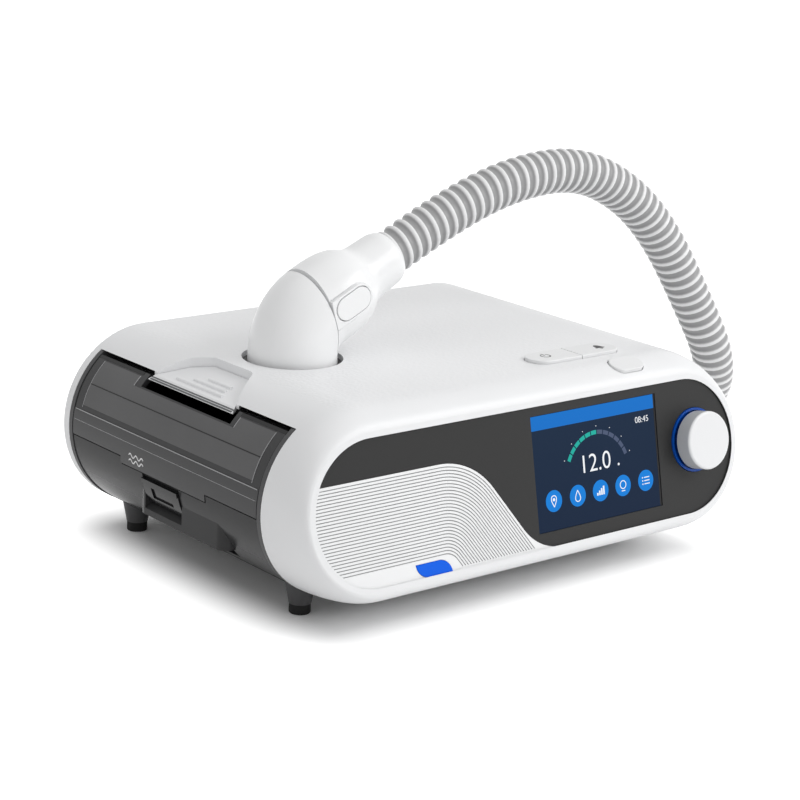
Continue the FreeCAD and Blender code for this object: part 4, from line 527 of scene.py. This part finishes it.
def slabMesh(name, outlines, low, high, place=np.asarray):
    # each outline is a closed row of points, anticlockwise; place turns flat x, y and height into metres
    points, faces, start = [], [], 0
    for outline in outlines:
        flat = np.asarray(outline, float)
        count = len(flat)
        points += [np.c_[flat, np.full(count, low)], np.c_[flat, np.full(count, high)]]
        here = start + np.arange(count)
        over = start + (np.arange(count) + 1) % count
        faces += [here[::-1].tolist(), (here + count).tolist()]
        faces += np.stack([here, over, over + count, here + count], -1).tolist()
        start += 2 * count
    return meshFrom(name, place(np.vstack(points)), faces)


def discOutline(x, y, radius, count=36):
    a = np.arange(count) / count * 2 * np.pi
    return np.stack([x + radius * np.cos(a), y + radius * np.sin(a)], -1)


def barOutline(x0, y0, x1, y1):
    return np.array([(x0, y0), (x1, y0), (x1, y1), (x0, y1)])


def sectorOutline(x, y, inner, outer, start, end, steps=10):
    # out along the outer arc and back along the inner one, angles in degrees
    a = np.radians(np.linspace(start, end, steps))
    way = np.stack([np.cos(a), np.sin(a)], -1)
    return np.vstack([outer * way, inner * way[::-1]]) + (x, y)


def ringOutlines(x, y, inner, outer):
    # two half rings, because an outline has no hole
    return [sectorOutline(x, y, inner, outer, start, start + 180, steps=18) for start in (0, 180)]


def dropOutline(x, y, size, width=0.85, taper=1.5, count=28):
    # a drop: the height follows the cosine, the width follows sin(t) times sin(t / 2) to a power
    t = np.linspace(2 * np.pi, 0, count, endpoint=False)
    across = width * np.sin(t) * np.sin(t / 2) ** taper
    return np.stack([x + size * across, y + size * np.cos(t)], -1)


def strokeOutline(points, width):
    # a line of the given width: its points moved half the width to each side of the way they run
    line = np.asarray(points, float)
    way = unitVectors(np.gradient(line, axis=0))
    side = np.stack([way[:, 1], -way[:, 0]], -1) * width / 2
    return np.vstack([line + side, (line - side)[::-1]])


wordSettings = {
    "digitShare": 0.72,         # a digit's height as a share of the letter size
    "slimmer": 0.008,           # how much of a digit's height comes off each side of a stroke
    "curveSteps": 5,
}


def wordMesh(name, word, height, x, y, low, high, place):
    curve = bpy.data.curves.new(name, "FONT")
    curve.body = word
    curve.size = height / wordSettings["digitShare"]
    curve.extrude = (high - low) / 2
    curve.offset = -height * wordSettings["slimmer"]
    curve.resolution_u = wordSettings["curveSteps"]
    curve.align_x = "CENTER"
    curve.align_y = "CENTER"
    mesh = meshOfCurve(name + "Text", curve)
    points = meshPoints(mesh) + (x, y, (low + high) / 2)
    mesh.vertices.foreach_set("co", place(points).ravel())
    mesh.update()
    return mesh


def finishPiece(name, mesh, finishName, body):
    mesh.materials.clear()
    mesh.materials.append(finishes[finishName])
    piece = addObject(name, mesh)
    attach(piece, body)


screenSettings = {
    "face": -0.00119,           # what is drawn starts this far behind the frame's front, just on the lens
    "ink": 0.00004,             # and is this thick
    "barFrom": (-0.0018, 0.0208), "barTo": (0.0748, 0.0272),
    # a painted shadow down the lens's right edge, where the frame's wall shades it
    "shadeFrom": (0.0748, -0.0248), "shadeTo": (0.0758, 0.0272),
    "gaugeAt": (0.0368, -0.0044), "gaugeRadii": (0.0185, 0.0204),
    "gaugeEnds": (155.0, 21.0), "gaugeSteps": 12, "gaugeLit": 6, "gaugeGap": 1.6,    # degrees
    "ticks": 7, "tickRadius": 0.0222, "tickSize": 0.00022,
    "reading": "12.0", "readingAt": (0.0355, 0.0012), "readingHeight": 0.0084,
    "dotAt": (0.0500, -0.0016), "dotSize": 0.0006,
    "clock": "08:45", "clockAt": (0.0668, 0.0166), "clockHeight": 0.0029,
}

iconSettings = {
    "places": (0.0085, 0.0232, 0.0375, 0.0518, 0.0665), "level": -0.0118, "radius": 0.0049,
    "pen": 0.00042,
    "drop": 0.0026,
    "marker": -0.0002, "eye": 0.0006, "eyeRadius": 0.0007,      # heights above the icon's middle
    "firstBar": (-0.0024, -0.0020, -0.0015, -0.0008),           # left, foot, right and head
    "bars": 4, "barPitch": 0.0013, "barRise": 0.0009,
    "cup": 0.0004, "cupRadius": 0.0016, "cupFoot": -0.0026, "cupFootHalf": 0.0011,
    "rowPitch": 0.0015, "rowEnds": (-0.0010, 0.0024), "rowDot": -0.0020, "rowDotShare": 0.8,
}


def gaugeOutlines(values, first, last):
    # the gauge's steps from the first to the last, from left to right, each one short by the gap
    x, y = values["gaugeAt"]
    left, right = values["gaugeEnds"]
    step = (left - right) / values["gaugeSteps"]
    starts = [left - step * (k + 1) for k in range(first, last)]
    return [sectorOutline(x, y, *values["gaugeRadii"], start, start + step - values["gaugeGap"], steps=6)
            for start in starts]


def iconGlyphs(values):
    # five plain signs: a marker, a drop, rising bars, a mask's round cup and a list; the stroke round a drop
    # leaves out the point at its tip
    marker, drop, bars, cup, rows = values["places"]
    y, pen, size = values["level"], values["pen"], values["drop"]
    glyphs = [strokeOutline(dropOutline(marker, y + values["marker"], -size)[1:], pen),
              discOutline(marker, y + values["eye"], values["eyeRadius"]),
              strokeOutline(dropOutline(drop, y, size)[1:], pen)]
    left, foot, right, head = values["firstBar"]
    for k in range(values["bars"]):
        x = bars + k * values["barPitch"]
        glyphs += [barOutline(x + left, y + foot, x + right, y + head + k * values["barRise"])]
    radius, half, foot = values["cupRadius"], values["cupFootHalf"], y + values["cupFoot"]
    glyphs += ringOutlines(cup, y + values["cup"], radius, radius + pen)
    glyphs += [barOutline(cup - half, foot, cup + half, foot + pen)]
    left, right = values["rowEnds"]
    for k in (-1, 0, 1):
        row = y + k * values["rowPitch"]
        glyphs += [barOutline(rows + left, row - pen / 2, rows + right, row + pen / 2),
                   discOutline(rows + values["rowDot"], row, pen * values["rowDotShare"], count=12)]
    return glyphs


def makeScreen(values, icons):
    low, ink = values["face"], values["ink"]
    lit, steps = values["gaugeLit"], values["gaugeSteps"]
    turn = np.radians(np.linspace(*values["gaugeEnds"], values["ticks"]))
    tickX = values["gaugeAt"][0] + values["tickRadius"] * np.cos(turn)
    tickY = values["gaugeAt"][1] + values["tickRadius"] * np.sin(turn)
    signs = [discOutline(x, y, values["tickSize"], count=10) for x, y in zip(tickX, tickY)]
    signs += iconGlyphs(icons)
    signs += [discOutline(*values["dotAt"], values["dotSize"], count=12)]
    discs = [discOutline(x, icons["level"], icons["radius"]) for x in icons["places"]]
    drawn = [
        ("screenBar", [barOutline(*values["barFrom"], *values["barTo"])], low, "screenBar", "screen"),
        # painted shadow: a black strip on the lens's right edge in place of the frame's shade
        ("screenPaintedShadow", [barOutline(*values["shadeFrom"], *values["shadeTo"])], low, "blackAndPaintedShadow",
         "panel_dark"),
        ("gaugeLit", gaugeOutlines(values, 0, lit), low, "screenTeal", "screen"),
        ("gaugeRest", gaugeOutlines(values, lit, steps), low, "screenDim", "screen"),
        ("screenIcons", discs, low, "screenIcon", "screen"),
        ("screenGlyphs", signs, low + ink, "screenWhite", "screen"),
    ]
    for name, outlines, level, finishName, slot in drawn:
        finishPiece(name, slabMesh(name, outlines, level, level + ink, onFront), finishName, "case")
    for name in ("reading", "clock"):
        digits = wordMesh(name, values[name], values[name + "Height"], *values[name + "At"],
                          low, low + ink, onFront)
        finishPiece(name + "Digits", digits, "screenWhite", "case")


makeScreen(screenSettings, iconSettings)
print("screen drawn")

keySettings = {
    "top": 0.09812,
    "ink": 0.00003,
    "powerAt": (0.0330, -0.0505),
    "muteAt": (0.0665, -0.0505),
    "size": 0.0026,
    "line": 0.0006,
    "ring": (125, 415),         # degrees; the rest of the ring is open
    "domePoints": 16,
    "clapperHole": 0.0001,
    # the rest are shares of the size
    "stroke": (0.2, 1.3),       # heights of its two ends
    "dome": (0.75, 1.1),        # half width and height
    "brim": (1.1, -0.7),
    "clapper": -0.85,
    "clapperRadius": 0.4,
}


def makeKeySigns(values):
    # an open ring with a stroke for on and off, and a bell for the alarm
    low, high = values["top"], values["top"] + values["ink"]
    size, pen = values["size"], values["line"]
    x, y = values["powerAt"]
    foot, head = values["stroke"]
    power = [sectorOutline(x, y, size - pen, size, *values["ring"], steps=30),
             barOutline(x - pen / 2, y + foot * size, x + pen / 2, y + head * size)]
    x, y = values["muteAt"]
    t = np.linspace(0, np.pi, values["domePoints"])
    half, rise = values["dome"]
    dome = np.stack([x + size * half * np.cos(t), y + size * rise * np.sin(t)], -1)
    half, level = values["brim"]
    brim = np.array([(x - size * half, y + size * level), (x + size * half, y + size * level)])
    clapper = sectorOutline(x, y + size * values["clapper"], values["clapperHole"],
                            size * values["clapperRadius"], 180, 360)
    mute = [np.vstack([dome, brim]), clapper]
    for name, outlines, body in (("powerSign", power, "power_button"), ("muteSign", mute, "mute_button")):
        finishPiece(name, slabMesh(name, outlines, low, high), "glyphGrey", body)


makeKeySigns(keySettings)
print("key signs made")

tankSettings = {
    # angles are degrees above the level, rises are metres above the radius
    "centreX": -0.0895, "centreZ": 0.0535, "radius": 0.0426, "bandRise": 0.0003,
    "angleStep": 2.5,           # a curved piece has a row of points at least this often
    "border": 0.0058,           # the dark strip at each end of the lid
    "paneAngles": (16.2, 46.6), "paneRises": (0.00001, 0.00013),
    "notchAngle": 39.4, "notch": (-0.0226, 0.0508), "notchRoom": 0.0022,
    "foldAngles": (29.65, 30.35), "foldRises": (0.0001, 0.00019),
    "hemAngles": (47.6, 49.9), "hemRise": 0.00015, "hemRoom": 0.001,
    # painted highlights: light grey lines standing for the light caught on the band's edges
    "paintedHighlightLines": ((12.5, 0.25, 0.00008), (6.0, 0.12, 0.00006)),      # angle, half width and thickness
    "paintedHighlightRoom": 0.001,
    "edgeDown": 1.5, "edgeRise": 0.0002, "edgeWidth": 0.0003, "notchEdgeWidth": 0.0004,
    "waveAngles": (-1.0, -4.4), "waveY": 0.0295, "waveLength": 0.0115, "waveHeight": 0.0008,
    "waves": 2.5, "wavePoints": 41, "waveWidth": 0.0006, "waveRises": (0.00002, 0.00006),
}


def onTank(points):
    # x is the angle in degrees above the level, y runs along the tank, the third value is the radius
    turn = np.radians(points[:, 0])
    x = tankSettings["centreX"] - points[:, 2] * np.cos(turn)
    z = tankSettings["centreZ"] + points[:, 2] * np.sin(turn)
    return np.stack([x, points[:, 1], z], -1)


def curvedSlabs(name, patches):
    # each patch runs from one angle to the next in small steps: a four-sided section carried round the tank
    points, faces, start = [], [], 0
    for a0, a1, y0, y1, low, high in patches:
        steps = max(2, int(abs(a1 - a0) / tankSettings["angleStep"]) + 1)
        a = np.linspace(a0, a1, steps)
        section = np.array([(y0, low), (y0, high), (y1, high), (y1, low)])
        points.append(np.concatenate([np.repeat(a, 4)[:, None], np.tile(section, (steps, 1))], 1))
        i, j = np.meshgrid(np.arange(steps - 1), np.arange(4), indexing="ij")
        near, over = start + i * 4 + j, start + i * 4 + (j + 1) % 4
        faces += np.stack([near, near + 4, over + 4, over], -1).reshape(-1, 4).tolist()
        faces += [[start, start + 1, start + 2, start + 3], [start + 4 * steps - 1 - k for k in range(4)]]
        start += 4 * steps
    return meshFrom(name, onTank(np.vstack(points)), faces)


def makeTankTrim(values):
    # the lid's pane, its dark seams and painted highlights along its edges, which leave out the notch for
    # the tongue
    lidLow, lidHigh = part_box("tank_lid")
    y0, y1 = lidLow[1], lidHigh[1]
    in0, in1 = y0 + values["border"], y1 - values["border"]
    n0, n1 = values["notch"]
    left, right = n0 - values["notchRoom"], n1 + values["notchRoom"]
    r, notch = values["radius"], values["notchAngle"]
    a0, a1 = values["paneAngles"]
    skin = [r + rise for rise in values["paneRises"]]
    pane = [(a0, notch, in0, in1, *skin), (notch, a1, in0, left, *skin), (notch, a1, right, in1, *skin)]
    hem = (r, r + values["hemRise"])
    dark = [(*values["foldAngles"], in0, in1, *(r + rise for rise in values["foldRises"])),
            (*values["hemAngles"], y0, n0 - values["hemRoom"], *hem),
            (*values["hemAngles"], n1 + values["hemRoom"], y1, *hem)]
    band, room = r + values["bandRise"], values["paintedHighlightRoom"]
    # painted highlights along the band's edges, the lid's ends and the notch's sides
    lit = [(a - half, a + half, y0 + room, y1 - room, band, band + rise)
           for a, half, rise in values["paintedHighlightLines"]]
    edge = (r, r + values["edgeRise"])
    wide = values["edgeWidth"]
    lit += [(a0 - values["edgeDown"], a1, y, y + wide, *edge) for y in (in0 - wide, in1)]
    wide = values["notchEdgeWidth"]
    lit += [(notch, a1, y, y + wide, *edge) for y in (left, right - wide)]
    for name, patches, finishName in (("lidPane", pane, "smokedPane"), ("lidSeams", dark, "blackAndPaintedShadow"),
                                      ("lidPaintedHighlights", lit, "paintedHighlightGrey")):
        finishPiece(name, curvedSlabs(name, patches), finishName, "lid")


def makeWaterSign(values):
    # two waves, drawn in metres along the skin and then turned back into degrees
    band = values["radius"] + values["bandRise"]
    metres = (math.radians(1) * band, 1)
    s = np.linspace(0, 1, values["wavePoints"])
    swing = math.degrees(values["waveHeight"] / band) * np.sin(s * values["waves"] * 2 * np.pi)
    waves = []
    for angle in values["waveAngles"]:
        line = np.stack([angle + swing, values["waveY"] + values["waveLength"] * s], -1)
        waves.append(strokeOutline(line * metres, values["waveWidth"]) / metres)
    low, high = (band + rise for rise in values["waveRises"])
    sign = slabMesh("waterSign", waves, low, high, onTank)
    finishPiece("waterSign", sign, "printWhiteAndPaintedHighlight", "lid")


padSettings = {
    # angles and radii as on the tank
    "inset": 0.0012,
    "stripAngles": (46.9, 49.4), "stripRadii": (0.0424, 0.04305),
    "lineAngles": (48.0, 48.35), "lineThickness": 0.00006,
}


def makePadLip(values):
    # the thumb pad's front lip: a strip of painted shade with one painted highlight line along it
    padLow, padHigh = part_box("release_pad")
    ends = (padLow[1] + values["inset"], padHigh[1] - values["inset"])
    # painted shade: the lip's front coloured grey
    strip = curvedSlabs("padLipPaintedShade", [(*values["stripAngles"], *ends, *values["stripRadii"])])
    finishPiece("padLipPaintedShade", strip, "innerGreyAndPaintedShade", "thumb_pad")
    top = values["stripRadii"][1]
    # painted highlight: one bright line along the lip
    line = curvedSlabs("padPaintedHighlight", [(*values["lineAngles"], *ends, top, top + values["lineThickness"])])
    finishPiece("padPaintedHighlight", line, "printWhiteAndPaintedHighlight", "thumb_pad")


makeTankTrim(tankSettings)
makeWaterSign(tankSettings)
makePadLip(padSettings)
print("tank trim made")

floorSettings = {
    "half": 4.0,                # metres from the middle to each edge
    "paper": {"Base Color": (0.92, 0.92, 0.92, 1), "Roughness": 0.9, "Specular IOR Level": 0.0},
    # painted shadow: the camera's light on the paper is low near the machine and full further out, darkening
    # the floor round it
    "glowNear": 0.02,           # the paper's own light for the camera, under the machine
    "glowFar": 0.75,
    "glowTo": 0.040,            # metres from the machine at which it is full
    "footprintMiddle": (0.0, 0.008),
    "footprintHalf": (0.100, 0.080),
}


def distanceFromFootprint(tree, point, values):
    # how far a point lies outside the machine's rectangle: the length of max(|p - middle| - half size, 0),
    # where a half size of 1 m leaves the height out
    steps = [("SUBTRACT", (*values["footprintMiddle"], 0)), ("ABSOLUTE", None),
             ("SUBTRACT", (*values["footprintHalf"], 1)), ("MAXIMUM", (0, 0, 0)), ("LENGTH", None)]
    for operation, fixed in steps:
        step = addNode(tree, "VectorMath", {1: fixed} if fixed else {}, operation=operation)
        tree.links.new(point, step.inputs[0])
        point = step.outputs[0]
    return step.outputs["Value"]


def makeFloor(values):
    # the paper shows its shading and shadow, and gives the camera more light away from the machine; the
    # dimmer paper near the machine is partly painted shadow
    side = np.linspace(-values["half"], values["half"], 3)
    x, y = np.meshgrid(side[::-1], side, indexing="ij")     # one way reversed, so that its faces point up
    mesh = gridMesh("floor", np.stack([x, y, np.zeros_like(x)], -1))
    floor = addObject("floor", mesh)
    material, tree, skin = newMaterial("floorPaper")
    link = tree.links.new
    setInputs(skin, values["paper"])
    where = addNode(tree, "TexCoord")
    away = distanceFromFootprint(tree, where.outputs["Object"], values)
    glow = smoothRange(tree, away, 0.0, values["glowTo"])
    setInputs(glow, {"To Min": values["glowNear"], "To Max": values["glowFar"]})
    light = addNode(tree, "Math", operation="MULTIPLY")
    link(glow.outputs["Result"], light.inputs[0])
    link(seenDirectly(tree), light.inputs[1])
    shine = addNode(tree, "Emission")
    link(light.outputs[0], shine.inputs["Strength"])
    both = addNode(tree, "AddShader")
    link(skin.outputs[0], both.inputs[0])
    link(shine.outputs[0], both.inputs[1])
    link(both.outputs[0], tree.nodes["Material Output"].inputs["Surface"])
    mesh.materials.append(material)


lightSettings = {
    "world": 0.565,             # the soft light from all round
    "lean": 0.12,               # what it gains on its bright side and loses on the other
    "brightSide": (0.6, -0.8, 0.0),
    "seen": 1.0,                # the background's own white
    "aim": (0, 0, 0.05),
    "boxes": {
        "keyBox": {"place": (1.0, -1.2, 1.1), "size": (1.2, 1.0), "power": 14.0},
        "fillBox": {"place": (-1.3, -0.3, 1.0), "size": (1.0, 1.0), "power": 0.6},
        "topBox": {"place": (0.0, 0.1, 1.5), "size": (1.6, 1.4), "power": 2.6},
    },
}


def makeWorld(values):
    # soft light from all round, world + lean * (direction . brightSide), and plain white where seen directly
    world = bpy.data.worlds.new("studio")
    world.use_nodes = True
    bpy.context.scene.world = world
    tree = world.node_tree
    link = tree.links.new
    sky = tree.nodes["Background"]
    setInputs(sky, {"Color": (1, 1, 1, 1)})
    where = addNode(tree, "TexCoord")
    side = addNode(tree, "VectorMath", {1: values["brightSide"]}, operation="DOT_PRODUCT")
    lean = addNode(tree, "Math", {1: values["lean"], 2: values["world"]}, operation="MULTIPLY_ADD")
    level = addNode(tree, "MapRange", {"To Max": values["seen"]})
    link(where.outputs["Generated"], side.inputs[0])
    link(side.outputs["Value"], lean.inputs[0])
    link(lean.outputs[0], level.inputs["To Min"])
    link(seenDirectly(tree), level.inputs["Value"])
    link(level.outputs["Result"], sky.inputs["Strength"])


def addSoftbox(name, values, aim):
    data = bpy.data.lights.new(name, "AREA")
    data.shape = "RECTANGLE"
    data.size, data.size_y = values["size"]
    data.energy = values["power"]
    lamp = addObject(name, data)
    way = Vector(values["place"]) - Vector(aim)
    turn = way.to_track_quat("Z", "Y").to_matrix().to_4x4()
    lamp.matrix_world = Matrix.Translation(values["place"]) @ turn


makeFloor(floorSettings)
makeWorld(lightSettings)
for name, values in lightSettings["boxes"].items():
    addSoftbox(name, values, lightSettings["aim"])
bpy.context.scene.view_settings.view_transform = "Standard"
print("floor and light ready")
